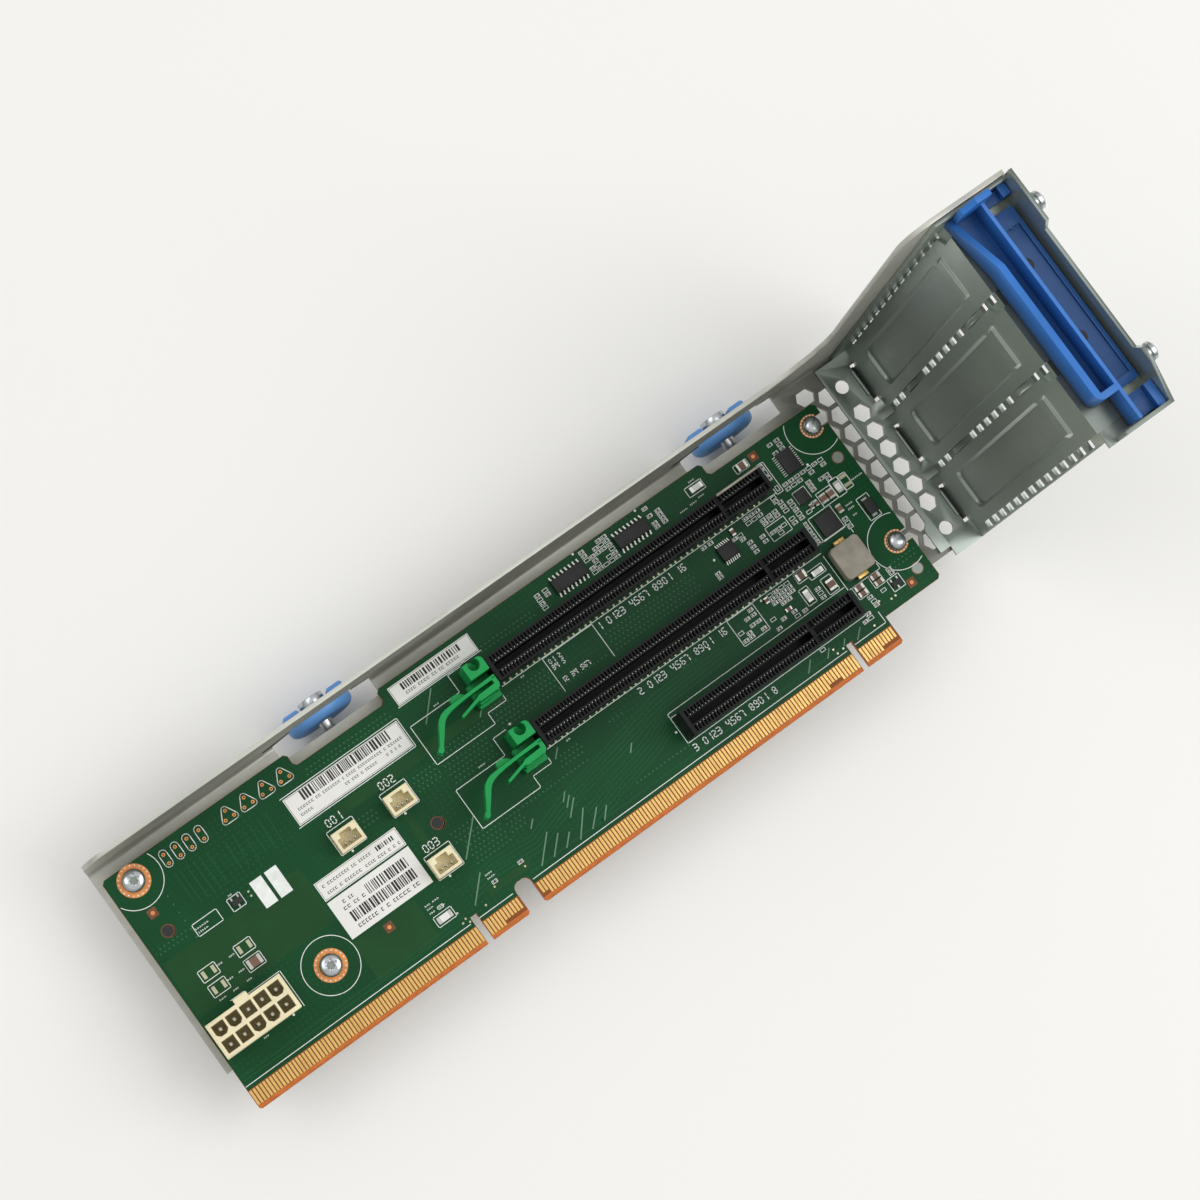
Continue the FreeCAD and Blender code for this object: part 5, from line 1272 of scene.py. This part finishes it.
class RISER_OT_copper(bpy.types.Operator):
    """Bare copper: rings round the fixings, pads, fiducials and solder points"""

    bl_idname = "riser.copper"
    bl_label = "Bare copper"

    def execute(self, context):
        rings = Shape()
        for middle in SCREWS:
            rings.ring(middle, 3.0, 4.4, SUNK, COPPER_HIGH, 48)
        for middle in STUDS:
            self.open_ring(rings, middle)
        corners = ((0.0, 67.2), (-1.3, 65.0), (1.3, 65.0))
        eyes = [(across, up) for across in OVALS for up in (64.4, 67.0)]
        eyes += [(across + side, up) for across in TRIANGLES for side, up in corners]
        for middle in eyes:
            rings.ring(middle, 0.22, 0.5, SUNK, COPPER_HIGH, 12)
        for middle in FIDUCIALS:
            rings.disc(middle, 0.55, SUNK, 0.025, 20)
        rings.piece("copper_rings", "copper")
        self.windows()
        self.pads()
        self.dots()
        return {"FINISHED"}

    def open_ring(self, rings, middle):
        """A ring that is open where the board's notch runs out to its edge."""
        inner, outer = (arc(middle, radius, 40, 320, 40) for radius in (2.75, 3.3))
        for near, far in zip(zip(inner, inner[1:]), zip(outer, outer[1:])):
            rings.prism([*far, *near[::-1]], SUNK, COPPER_HIGH)

    def windows(self):
        """Bare laminate squares round the fiducials, black discs in the tool holes as painted shade, and two
        that show the plate below.
        """
        bare = Shape()
        for across, up in FIDUCIALS:
            bare.box(across - 1.25, up - 1.25, across + 1.25, up + 1.25, SUNK, 0.012)
        for middle in PLATE_VIEWS + TOOL_HOLES:
            bare.ring(middle, HOLE_RADIUS, HOLE_RADIUS + 0.25, SUNK, COPPER_HIGH, 24)
        bare.piece("fiducial_windows", "laminate")
        # Painted shade: black discs stand for the shaded inside of the tool holes.
        for name, slot, middles in (("tool_holes", "chip_black", TOOL_HOLES),
                                    ("plate_views", "dark_steel", PLATE_VIEWS)):
            holes = Shape()
            for middle in middles:
                holes.disc(middle, HOLE_RADIUS, SUNK, 0.01, 24)
            holes.piece(name, slot)

    def pads(self):
        """Bare solder pads without a part, and print-white dots on the fixing rings."""
        pads = Points()
        for middle in BARE_PADS:
            pads.add(*middle, SUNK)
        for up in (42.9, 45.4):
            pads.add(220.9, up, SUNK, 90.0)
        pads.grow("bare_pads", "blocks", {"Long": 0.95, "Wide": 2.1, "High": 0.12}, "solder")
        dots = Points()
        for fixings, radius, first, gap, count in RING_DOTS:
            for middle in fixings:
                for step in range(count):
                    angle = first + gap * step
                    dots.add(*on_circle(middle, radius, angle), 0.0, angle)
        dots.grow("ring_dots", "blocks", {"Long": 0.34, "Wide": 0.34, "High": 0.06}, "print_white")

    def dots(self):
        """Solder points in rows beside the sockets, and bare vias."""
        dots = Points()
        for up in (52.55, 32.4):
            across = 114.0
            step = 0
            while across < 199.0:
                dots.add(across, up, 0.02)
                step += 1
                across += 2.0 if step % 3 else 1.6
        for middle in BARE_VIAS:
            dots.add(*middle, 0.02)
        dots.grow("solder_points", "discs", {"Radius": 0.3, "High": 0.09}, "solder")


CLUSTERS = (    # left, low, right and high edge, and the share of places that are filled
    (133.2, 61.8, 138.4, 68.2, 0.6), (150.0, 61.9, 159.2, 69.6, 0.75), (170.4, 62.4, 175.6, 69.4, 0.6),
    (203.6, 52.0, 205.2, 60.8, 0.8), (205.8, 50.4, 219.6, 53.2, 0.75), (208.6, 60.2, 213.2, 64.2, 0.6),
    (191.4, 49.0, 197.2, 51.8, 0.9), (200.6, 49.6, 203.2, 52.0, 0.8), (176.6, 41.6, 178.4, 45.2, 0.9),
    (188.2, 41.6, 191.0, 46.0, 0.6), (192.2, 42.4, 194.4, 45.4, 0.9), (195.4, 42.0, 200.8, 45.8, 0.6),
    (195.0, 46.4, 201.0, 48.8, 0.8), (201.6, 42.0, 206.2, 50.0, 0.75), (211.4, 46.4, 218.4, 50.0, 0.7),
    (206.4, 42.2, 211.6, 44.8, 0.9), (203.8, 34.0, 205.8, 41.4, 0.9), (213.6, 32.6, 217.2, 36.4, 0.6),
    (172.0, 24.0, 179.8, 27.6, 0.75), (175.6, 28.4, 179.8, 31.4, 0.8), (181.0, 21.4, 186.0, 25.8, 0.6),
    (184.4, 26.4, 192.0, 31.4, 0.75), (187.0, 21.4, 192.0, 24.2, 0.8), (195.4, 21.4, 198.6, 26.8, 0.7),
    (204.6, 14.2, 208.2, 15.4, 0.9), (210.2, 13.4, 212.6, 15.2, 0.9), (206.0, 10.4, 209.0, 14.0, 0.7),
    (201.4, 9.6, 205.0, 12.2, 0.8), (186.6, 10.2, 190.0, 11.6, 0.9), (214.4, 16.2, 217.6, 18.6, 0.7),
    (177.4, 50.4, 181.8, 52.0, 0.8), (185.8, 46.4, 189.4, 49.0, 0.6), (198.4, 30.2, 202.6, 31.8, 0.7),
    (89.0, 11.4, 91.2, 13.2, 1.0), (80.6, 11.2, 82.8, 13.0, 1.0), (65.4, 14.2, 67.8, 17.4, 0.6),
)
BIG_PARTS = (    # middle, length, width, height, body finish and turn
    (20.1, 31.3, 4.0, 2.5, 1.7, "capacitor", 0), (212.9, 43.5, 2.6, 1.9, 1.2, "capacitor", 90),
    (215.2, 43.5, 2.6, 1.9, 1.2, "capacitor", 90), (214.7, 38.8, 2.4, 1.6, 1.2, "capacitor", 90),
    (195.2, 30.2, 2.9, 2.0, 1.2, "capacitor", 0), (200.5, 23.7, 3.0, 2.3, 1.4, "capacitor", 90),
    (199.9, 63.2, 3.0, 2.0, 1.2, "capacitor", 0), (206.2, 18.6, 2.6, 1.35, 0.9, "capacitor", 0),
    (206.2, 16.8, 2.6, 1.35, 0.9, "capacitor", 0), (211.6, 18.6, 2.6, 1.35, 0.9, "capacitor", 0),
    (211.6, 16.8, 2.6, 1.35, 0.9, "capacitor", 0), (183.7, 30.2, 1.7, 1.1, 0.8, "capacitor", 90),
    (187.2, 24.9, 1.9, 1.0, 0.8, "capacitor", 0), (187.2, 50.2, 2.0, 1.1, 0.9, "capacitor", 90),
    (208.9, 43.6, 1.6, 1.0, 0.8, "capacitor", 90), (210.6, 43.6, 1.6, 1.0, 0.8, "capacitor", 90),
    (218.1, 43.8, 3.2, 1.7, 0.8, "paper", 90), (199.6, 28.6, 3.4, 1.5, 0.8, "paper", 0),
    (193.6, 24.8, 3.4, 1.6, 0.8, "paper", 90), (65.9, 12.2, 4.4, 1.9, 0.8, "paper", 0),
    (186.4, 65.6, 3.8, 1.6, 0.9, "paper", 0),
)
TRANSISTORS = ((25.2, 46.4), (215.4, 13.9))
TRANSISTOR_LEGS = ((-0.95, 1.1), (0.95, 1.1), (0.0, -1.1))
DIODE_ENDS = ((221.8, 32.3), (221.8, 36.9))
SMALL_PART = (0.95, 0.5, 0.42)
HALF_FRAME = (0.72, 0.42)
FRAME_WIDE, FRAME_HIGH = 0.16, 0.04
PATCH_GAPS = (1.75, 1.15)


class RISER_OT_small_parts(bpy.types.Operator):
    """Small capacitors, resistors and transistors with their tinned ends and print frames"""

    bl_idname = "riser.small_parts"
    bl_label = "Small parts"

    def execute(self, context):
        self.bodies = {"capacitor": Points(), "chip_black": Points(), "paper": Points()}
        self.ends = Points()
        self.frames = Points()
        draw = random.Random(11)
        for row in CLUSTERS:
            self.cluster(draw, *row)
        for row in BIG_PARTS:
            self.part(*row)
        for across, up in TRANSISTORS:
            self.bodies["chip_black"].add(across, up, 0.15, 0.0, (2.9, 1.5, 0.95))
            for leg in moved(TRANSISTOR_LEGS, across, up):
                self.ends.add(*leg, 0.0, 0.0, (0.45, 0.9, 0.25))
        for end in DIODE_ENDS:
            self.ends.add(*end, 0.0, 0.0, (1.5, 1.0, 0.5))
        for slot, points in self.bodies.items():
            points.grow(f"small_parts_{slot}", "blocks", UNIT, slot)
        self.ends.grow("small_part_ends", "blocks", UNIT, "tin")
        self.frames.grow("small_part_frames", "blocks", UNIT, "print_white")
        return {"FINISHED"}

    def part(self, across, up, long, wide, tall, kind, turn):
        """One two-ended part: a body between two tinned ends."""
        cap = long * 0.22
        self.bodies[kind].add(across, up, 0.0, turn, (long - 1.6 * cap, wide * 0.97, tall * 0.97))
        for angle in (turn + 180, turn):
            self.ends.add(*on_circle((across, up), (long - cap) / 2, angle), 0.0, turn, (cap, wide, tall))

    def cluster(self, draw, left, low, right, high, filled):
        """A patch of small framed parts; some places stay empty."""
        flat = (right - left) > (high - low) * 0.5
        gap_across, gap_up = PATCH_GAPS if flat else PATCH_GAPS[::-1]
        columns = max(1, int((right - left) / gap_across))
        rows = max(1, int((high - low) / gap_up))
        turn = 0 if flat else 90
        for row in range(rows):
            for column in range(columns):
                across = left + (column + 0.5) * (right - left) / columns
                up = low + (row + 0.5) * (high - low) / rows
                if draw.random() > filled:
                    continue
                self.frame(across, up, *(HALF_FRAME if flat else HALF_FRAME[::-1]))
                kind = draw.choice(("capacitor", "chip_black", "chip_black"))
                if draw.random() < 0.75:
                    self.part(across, up, *SMALL_PART, kind, turn)

    def frame(self, across, up, half_long, half_wide):
        """A thin print frame round a small part."""
        flat_side = (2 * half_long + FRAME_WIDE, FRAME_WIDE, FRAME_HIGH)
        upright_side = (FRAME_WIDE, 2 * half_wide - FRAME_WIDE, FRAME_HIGH)
        for sign in (-1, 1):
            self.frames.add(across, up + sign * half_wide, SUNK, 0.0, flat_side)
            self.frames.add(across + sign * half_long, up, SUNK, 0.0, upright_side)


class RISER_OT_sockets(bpy.types.Operator):
    """Card sockets with their contact pockets and contacts"""

    bl_idname = "riser.sockets"
    bl_label = "Card sockets"

    END, GROOVE, LEDGE, WALL, FLOOR, WELL = 1.1, 1.0, 0.35, 0.55, 3.2, 1.5
    POCKET = 1.75

    def execute(self, context):
        ribs, contacts = Points(), Points()
        for number in (1, 2, 3):
            self.socket(number, ribs, contacts)
        sides = {"Long": sizes().rib_wide / MM, "Wide": self.POCKET, "High": self.WELL}
        ribs.grow("socket_ribs", "blocks", sides, "socket_black")
        contacts.grow("socket_contacts", "blocks", {"Long": 0.26, "Wide": 0.34, "High": 0.5}, "tin")
        return {"FINISHED"}

    def socket(self, number, ribs, contacts):
        """One housing in prisms along its length, with the places of its ribs and contacts."""
        node = f"card_socket_{number}"
        (left, front, _), (right, back, top) = board_box(node)
        middle = (front + back) / 2
        half = (back - front) / 2
        key_left, key_right = right - 15.1, right - 14.0
        housing = Shape()
        housing.box(left, front, right, back, 0.0, self.FLOOR)
        housing.box(left, front, left + self.END, back, self.FLOOR, top)
        housing.box(right - self.END, front, right, back, self.FLOOR, top)
        housing.box(key_left, middle - self.GROOVE, key_right, middle + self.GROOVE, self.FLOOR, top - 1.2)
        bench = self.GROOVE + self.LEDGE
        steps = ((self.GROOVE, bench, top - 0.35), (bench, half - self.WALL, top - self.WELL),
                 (half - self.WALL, half, top))
        for side in (-1, 1):
            for near, far, level in steps:
                low, high = sorted((middle + side * near, middle + side * far))
                housing.box(left + self.END, low, right - self.END, high, self.FLOOR, level)
        housing.piece(f"{node}_housing", "socket_black", "root", [node])
        if number == 1:
            strip = Shape()
            strip.box(key_right, back - 0.62, right - 0.1, back - 0.02, top - 2.0, top + 0.06)
            strip.piece("socket_strip", "ferrite")
        pitch = sizes().contact_pitch / MM
        for start, end in ((left + 1.6, key_left - 0.4), (key_right + 0.4, right - 1.6)):
            count = int((end - start) / pitch)
            for step in range(count + 1):
                across = start + 0.3 + step * pitch
                for side in (-1, 1):
                    ribs.add(across, middle + side * (bench + self.POCKET / 2), top - self.WELL)
                    if step < count:
                        up = middle + side * (self.GROOVE + 0.55)
                        contacts.add(across + pitch / 2, up, top - self.WELL)


CLIP_LEVER = (    # middle line, with half the width, from the clip's right end and middle
    (-23.1, -10.1, 0.5), (-22.5, -9.5, 0.8), (-21.9, -8.8, 0.58), (-20.4, -6.8, 0.66), (-19.1, -4.9, 0.8),
    (-17.8, -3.35, 0.86), (-16.0, -2.4, 0.8), (-13.0, -2.0, 0.58), (-8.0, -1.8, 0.48), (-2.7, -1.7, 0.52),
    (-0.1, -1.7, 0.6),
)
CLIP_NUB = (    # outline from the same place
    (-13.2, -1.6), (-9.0, -1.6), (-9.0, -1.1), (-9.7, -0.4), (-10.8, 0.3), (-12.2, 0.4), (-13.0, 0.0),
)
CLIP_PRONG = (    # outline from the same place
    (-13.1, -6.1), (-7.2, -4.7), (-6.6, -5.1), (-1.4, -5.0), (-0.6, -4.7), (-0.1, -3.9), (-0.1, -1.4),
    (-1.4, -1.4), (-1.4, -3.2), (-6.4, -3.4), (-7.2, -3.8), (-13.1, -5.3),
)


class RISER_OT_clips(bpy.types.Operator):
    """Green card clips: foot, hollow head, springy lever and prong"""

    bl_idname = "riser.clips"
    bl_label = "Card clips"

    def execute(self, context):
        for number in (1, 2):
            self.clip(number)
        return {"FINISHED"}

    def clip(self, number):
        """One clip in the place of its solid."""
        node = f"card_clip_{number}"
        right, far, top = board_box(node)[1]
        middle = far - 5.0
        shape = Shape()
        shape.box(right - 6.9, middle - 6.4, right, middle + 0.6, 0.0, 3.2)
        shape.prism(self.head(right, middle), 0.0, top)
        shape.disc((right - 2.95, middle + 3.7), 1.7, 2.6, 3.2, 20)
        shape.prism(moved(CLIP_NUB, right, middle), 6.0, 9.4)
        shape.prism(moved(CLIP_PRONG, right, middle), 6.0, top)
        shape.box(right - 6.7, middle - 5.6, right - 3.2, middle - 3.4, 3.0, 6.2)
        shape.box(right - 1.0, middle - 5.0, right - 0.1, middle - 2.0, 3.0, 6.2)
        shape.prism(self.lever(right, middle), 6.0, top)
        shape.piece(f"{node}_moulded", "clip_green", "root", [node], None, sizes().clip_edge)

    @staticmethod
    def head(right, middle):
        """Outline of the head: a rounded far corner and a round hole that is open at the far side."""
        left, low, far = right - 5.9, middle + 0.6, middle + 5.0
        corner, hole, depth = 1.4, 1.6, 1.3
        lip = math.degrees(math.asin(depth / hole))
        return [
            (left, low), (right, low), *arc((right - corner, far - corner), corner, 0, 90, 5),
            *arc((left + 2.95, far - depth), hole, lip, -180 - lip, 18), (left, far),
        ]

    @staticmethod
    def lever(right, middle):
        """Outline of the curved lever: both sides of its middle line, which a smooth curve rounds."""
        path = smooth_path(moved(CLIP_LEVER, right, middle), 4)
        sides = ([], [])
        for spot, (across, up, half) in enumerate(path):
            before = path[max(spot - 1, 0)]
            after = path[min(spot + 1, len(path) - 1)]
            along = Vector((after[0] - before[0], after[1] - before[1])).normalized()
            sides[0].append((across + along.y * half, up - along.x * half))
            sides[1].append((across - along.y * half, up + along.x * half))
        return sides[0] + sides[1][::-1]


def smooth_path(points, count):
    """Points on a smooth curve through given points, with some steps between each two."""
    path = []
    for spot in range(len(points) - 1):
        around = [Vector(points[min(max(spot + shift, 0), len(points) - 1)]) for shift in (-1, 0, 1, 2)]
        path += [tuple(between_points(*around, step / count)) for step in range(count)]
    return path + [tuple(points[-1])]


def between_points(before, start, end, after, share):
    """A point between two of four points on a smooth curve through all of them."""
    return 0.5 * (
        2 * start + (end - before) * share + (2 * before - 5 * start + 4 * end - after) * share ** 2
        + (3 * start - before - 3 * end + after) * share ** 3
    )


class RISER_OT_headers(bpy.types.Operator):
    """Power header and small headers with softened edges"""

    bl_idname = "riser.headers"
    bl_label = "Headers"

    def execute(self, context):
        for node in ("power_header", "aux_header_1", "aux_header_2", "aux_header_3"):
            softened(node, sizes().header_edge)
        for node in ("power_pins", "aux_pins"):
            softened(node, sizes().pin_edge, 1)
        return {"FINISHED"}


CHIPS = ("driver_chips", "clock_chip", "expander_chip", "regulator_chip", "switch_chip", "power_diode")
DRIVERS = ((144.2, 65.3), (164.8, 65.3))
CLOCK = (211.1, 57.1)
EXPANDER = (183.1, 46.8)


class RISER_OT_chips(bpy.types.Operator):
    """Chips with their leads, and the inductor"""

    bl_idname = "riser.chips"
    bl_label = "Chips"

    def execute(self, context):
        edge = sizes().chip_edge
        for node in CHIPS:
            softened(node, edge)
        softened("power_inductor", sizes().inductor_edge, 3)
        softened("inductor_terminals", edge).data.materials[0] = finish("gold")
        wide, fine = Points(), Points()
        for middle in DRIVERS:
            self.leads(wide, middle, 8, 1.27, 1.95, -90.0)
        wide.grow("driver_leads", "leads", {"Reach": 1.1, "Wide": 0.42, "Rise": 0.75, "Thick": 0.2}, "tin")
        self.leads(fine, CLOCK, 10, 0.65, 2.2, 180.0)
        self.leads(fine, EXPANDER, 7, 0.65, 2.1, -90.0)
        fine.grow("fine_leads", "leads", {"Reach": 1.0, "Wide": 0.26, "Rise": 0.6, "Thick": 0.15}, "tin")
        return {"FINISHED"}

    def leads(self, points, middle, count, pitch, reach, turn):
        """Two rows of leads on opposite sides of a chip; the turn is that of the first row."""
        for step in range(count):
            along = (step - (count - 1) / 2) * pitch
            for side, angle in ((-reach, turn), (reach, turn + 180.0)):
                across, up = (side, along) if turn == 180.0 else (along, side)
                points.add(middle[0] + across, middle[1] + up, 0.0, angle)


SCREW_PROFILE = (    # radius and height, as in the next two
    (0, -7.0), (1.5, -7.0), (1.5, 0.0), (3.1, 0.0), (3.1, 0.9), (2.95, 1.45), (2.6, 1.9), (2.3, 2.1),
    (1.85, 2.2), (1.8, 2.1), (1.7, 0.6), (0, 0.4),
)
STUD_PROFILE = (
    (0, -7.0), (2.9, -7.0), (2.9, -1.6), (1.4, -1.6), (1.4, 0.0), (2.6, 0.0), (2.6, 0.35), (2.45, 0.9),
    (2.1, 1.4), (1.5, 1.8), (0.8, 1.96), (0, 2.0),
)
GUIDE_PROFILE = ((0, 0.0), (1.7, 0.0), (1.7, 1.3), (2.4, 1.45), (2.4, 2.3), (1.9, 2.8), (0, 2.8))


class RISER_OT_fasteners(bpy.types.Operator):
    """Screws with a star socket, domed studs, standoffs and guide studs"""

    bl_idname = "riser.fasteners"
    bl_label = "Fasteners"

    def execute(self, context):
        screws, sockets, studs, guides = Shape(), Shape(), Shape(), Shape()
        for middle in SCREWS:
            screws.lathe(SCREW_PROFILE, on_board(*middle), "Z", 48, self.star)
            # Painted shade: a disc of darker steel at the bottom of each star socket.
            sockets.disc(middle, 1.0, 0.5, 0.75, 24)
        for middle in STUDS:
            studs.lathe(STUD_PROFILE, on_board(*middle), "Z", 40)
        low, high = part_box("guide_studs")
        for up in (low.y + 2.4 * MM, high.y - 2.4 * MM):
            guides.lathe(GUIDE_PROFILE, Vector((low.x, up, (low.z + high.z) / 2)), "X", 40)
        screws.piece("star_screws", "bright_steel", "root", ["board_screws"], 35)
        sockets.piece("screw_sockets", "dark_steel")
        studs.piece("domed_studs", "bright_steel", "root", ["board_studs"], 35)
        softened("standoffs", sizes().standoff_edge)
        guides.piece("guide_pins", "bright_steel", "root", ["guide_studs"], 35)
        return {"FINISHED"}

    @staticmethod
    def star(radius, rise, turn):
        """Six lobes for the socket in the screw's head."""
        if radius > 1.9 or rise < 0.3:
            return radius
        return radius * (0.8 + 0.2 * math.cos(6 * turn))


LABEL_STRIPES = (    # left, low, right and high edge of each patch
    (54.0, 57.6, 81.4, 60.4), (61.6, 36.0, 67.2, 37.3), (53.8, 28.2, 66.3, 31.0), (46.7, 24.6, 66.3, 27.5),
    (91.4, 66.2, 109.8, 68.2),
)
LABEL_ROWS = (    # start along the board, place across it, end and height
    (51.4, 56.5, 83.4, 0.9), (51.2, 54.9, 54.4, 0.9), (65.0, 54.9, 75.0, 0.9), (78.0, 54.9, 83.0, 0.9),
    (44.9, 36.7, 60.0, 1.0), (45.2, 34.6, 55.0, 1.0), (57.0, 34.6, 67.2, 1.0), (47.0, 30.6, 51.2, 1.2),
    (46.2, 28.9, 52.6, 1.2), (46.8, 23.2, 65.6, 1.3), (91.6, 65.2, 108.4, 1.0),
)
LABEL_EDGES = (    # left, low, right and high edge of each frame
    (43.7, 33.4, 68.5, 38.3), (49.6, 53.1, 84.9, 60.5), (88.3, 63.7, 113.3, 68.6),
)


class RISER_OT_labels(bpy.types.Operator):
    """Paper labels with plain print"""

    bl_idname = "riser.labels"
    bl_label = "Labels"

    def execute(self, context):
        for number in (1, 2, 3, 4):
            softened(f"label_{number}", sizes().label_edge, 1, False)
        self.floor = board_box("label_1")[1][2] + SUNK
        self.ink = Points()
        self.draw = random.Random(5)
        for row in LABEL_STRIPES:
            self.stripes(*row)
        for row in LABEL_ROWS:
            self.row(*row)
        for left, low, right, high in LABEL_EDGES:
            for up in (low, high):
                self.dash((left + right) / 2, up, right - left, 0.1)
            for across in (left, right):
                self.dash(across, (low + high) / 2, 0.1, high - low)
        self.ink.grow("label_print", "blocks", UNIT, "ink")
        return {"FINISHED"}

    def dash(self, across, up, long, wide):
        """One flat dash of print."""
        self.ink.add(across, up, self.floor, 0.0, (long, wide, 0.02))

    def stripes(self, left, low, right, high):
        """Plain upright stripes of a few widths."""
        across = left
        while across < right:
            wide = self.draw.choice((0.24, 0.4, 0.6))
            self.dash(across + wide / 2, (low + high) / 2, wide, high - low)
            across += wide + self.draw.choice((0.2, 0.3, 0.46))

    def row(self, left, up, right, tall):
        """A row of small marks, each of three dashes, in a few lengths."""
        across = left
        while across < right:
            long = tall * self.draw.choice((0.45, 0.6, 0.7))
            for side in (0.28, -0.28):
                self.dash(across + long / 2, up + tall * side, long, tall * 0.16)
            self.dash(across + tall * 0.08, up, tall * 0.16, tall * 0.6)
            across += long + tall * self.draw.choice((0.25, 0.25, 0.25, 0.9))


RETAINER_HOLES = ((253.7, 33.6), (253.7, 54.4))
EJECTOR_MARKS = (    # middle and level
    ((257.0, 45.0), 112.25), ((256.4, 26.5), 112.25), ((256.8, 64.5), 112.95), ((256.6, 13.4), 112.95),
)


class RISER_OT_retainer(bpy.types.Operator):
    """Blue card retainer with softened edges"""

    bl_idname = "riser.retainer"
    bl_label = "Card retainer"

    def execute(self, context):
        softened("card_retainer", sizes().moulded_edge)
        holes, marks = Shape(), Shape()
        # Painted shade: black discs on the panel stand for the shaded inside of its holes.
        for middle in RETAINER_HOLES:
            holes.disc(middle, 1.9, 112.2, 112.3, 28)
        for middle, level in EJECTOR_MARKS:
            marks.ring(middle, 1.25, 1.5, level, level + 0.05, 32)
        holes.piece("retainer_holes", "chip_black", "retainer")
        marks.piece("ejector_marks", "blue_plastic", "retainer", (), 30)
        return {"FINISHED"}


WING_LEVELS = ((5.7, 0.0), (7.3, 0.0), (7.8, 0.5))    # height, and how far the sides are drawn in


class RISER_OT_latches(bpy.types.Operator):
    """Blue thumb knobs and their metal studs"""

    bl_idname = "riser.latches"
    bl_label = "Latches"

    def execute(self, context):
        for number in (1, 2):
            self.knob(number)
            softened(f"latch_stud_{number}", sizes().stud_edge)
        return {"FINISHED"}

    def knob(self, number):
        """A turned knob with a rounded face and two thumb wings."""
        node = f"latch_knob_{number}"
        low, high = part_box(node)
        centre = Vector(((low.x + high.x) / 2, low.y, (low.z + high.z) / 2))
        shape = Shape()
        shape.swept([
            (1.9, 1.2), (5.5, 1.2), *arc((7.28, 3.6), 2.4, -90, 0, 8), (9.68, 4.9), (9.55, 5.4), (9.1, 5.8),
            (1.9, 5.8),
        ], centre, "Y", 72)
        for side in (-1, 1):
            self.wing(shape, centre, side)
        knob = shape.piece(f"{node}_turned", "knob_blue", f"latch_{number}", [node], 35)

    def wing(self, shape, centre, side):
        """One raised wing on the rim of a knob, drawn in at its top."""
        rings = []
        for rise, inset in WING_LEVELS:
            near, far, half = 4.5 + inset, 9.2 - inset, 3.2 - inset
            corners = ((near, -half), (far, -half), (far, half), (near, half))
            rings.append(shape.points(
                centre + Vector((side * across, rise, deep)) * MM for across, deep in corners
            ))
        shape.capped(rings)


OPERATORS = (
    RISER_OT_stage, RISER_OT_sheet_metal, RISER_OT_board, RISER_OT_print, RISER_OT_copper,
    RISER_OT_small_parts, RISER_OT_sockets, RISER_OT_clips, RISER_OT_headers, RISER_OT_chips,
    RISER_OT_fasteners, RISER_OT_labels, RISER_OT_retainer, RISER_OT_latches,
)


class RISER_PT_panel(bpy.types.Panel):
    """Lists the riser's pieces in the sidebar"""

    bl_idname = "RISER_PT_panel"
    bl_label = "Server riser"
    bl_space_type = "VIEW_3D"
    bl_region_type = "UI"
    bl_category = "Riser"

    def draw(self, context):
        for operator in OPERATORS:
            self.layout.operator(operator.bl_idname)


CLASSES = (RiserColours, RiserSizes, RiserStage, RiserSettings, *OPERATORS, RISER_PT_panel)


def register():
    """Register the classes and the scene's settings."""
    for kind in CLASSES:
        bpy.utils.register_class(kind)
    bpy.types.Scene.riser = bpy.props.PointerProperty(type=RiserSettings)


def unregister():
    """Take the settings and the classes away again."""
    del bpy.types.Scene.riser
    for kind in reversed(CLASSES):
        bpy.utils.unregister_class(kind)


def main():
    """Dress the whole riser."""
    register()
    for operator in OPERATORS:
        group, name = operator.bl_idname.split(".")
        getattr(getattr(bpy.ops, group), name)()


if __name__ == "__main__":
    main()
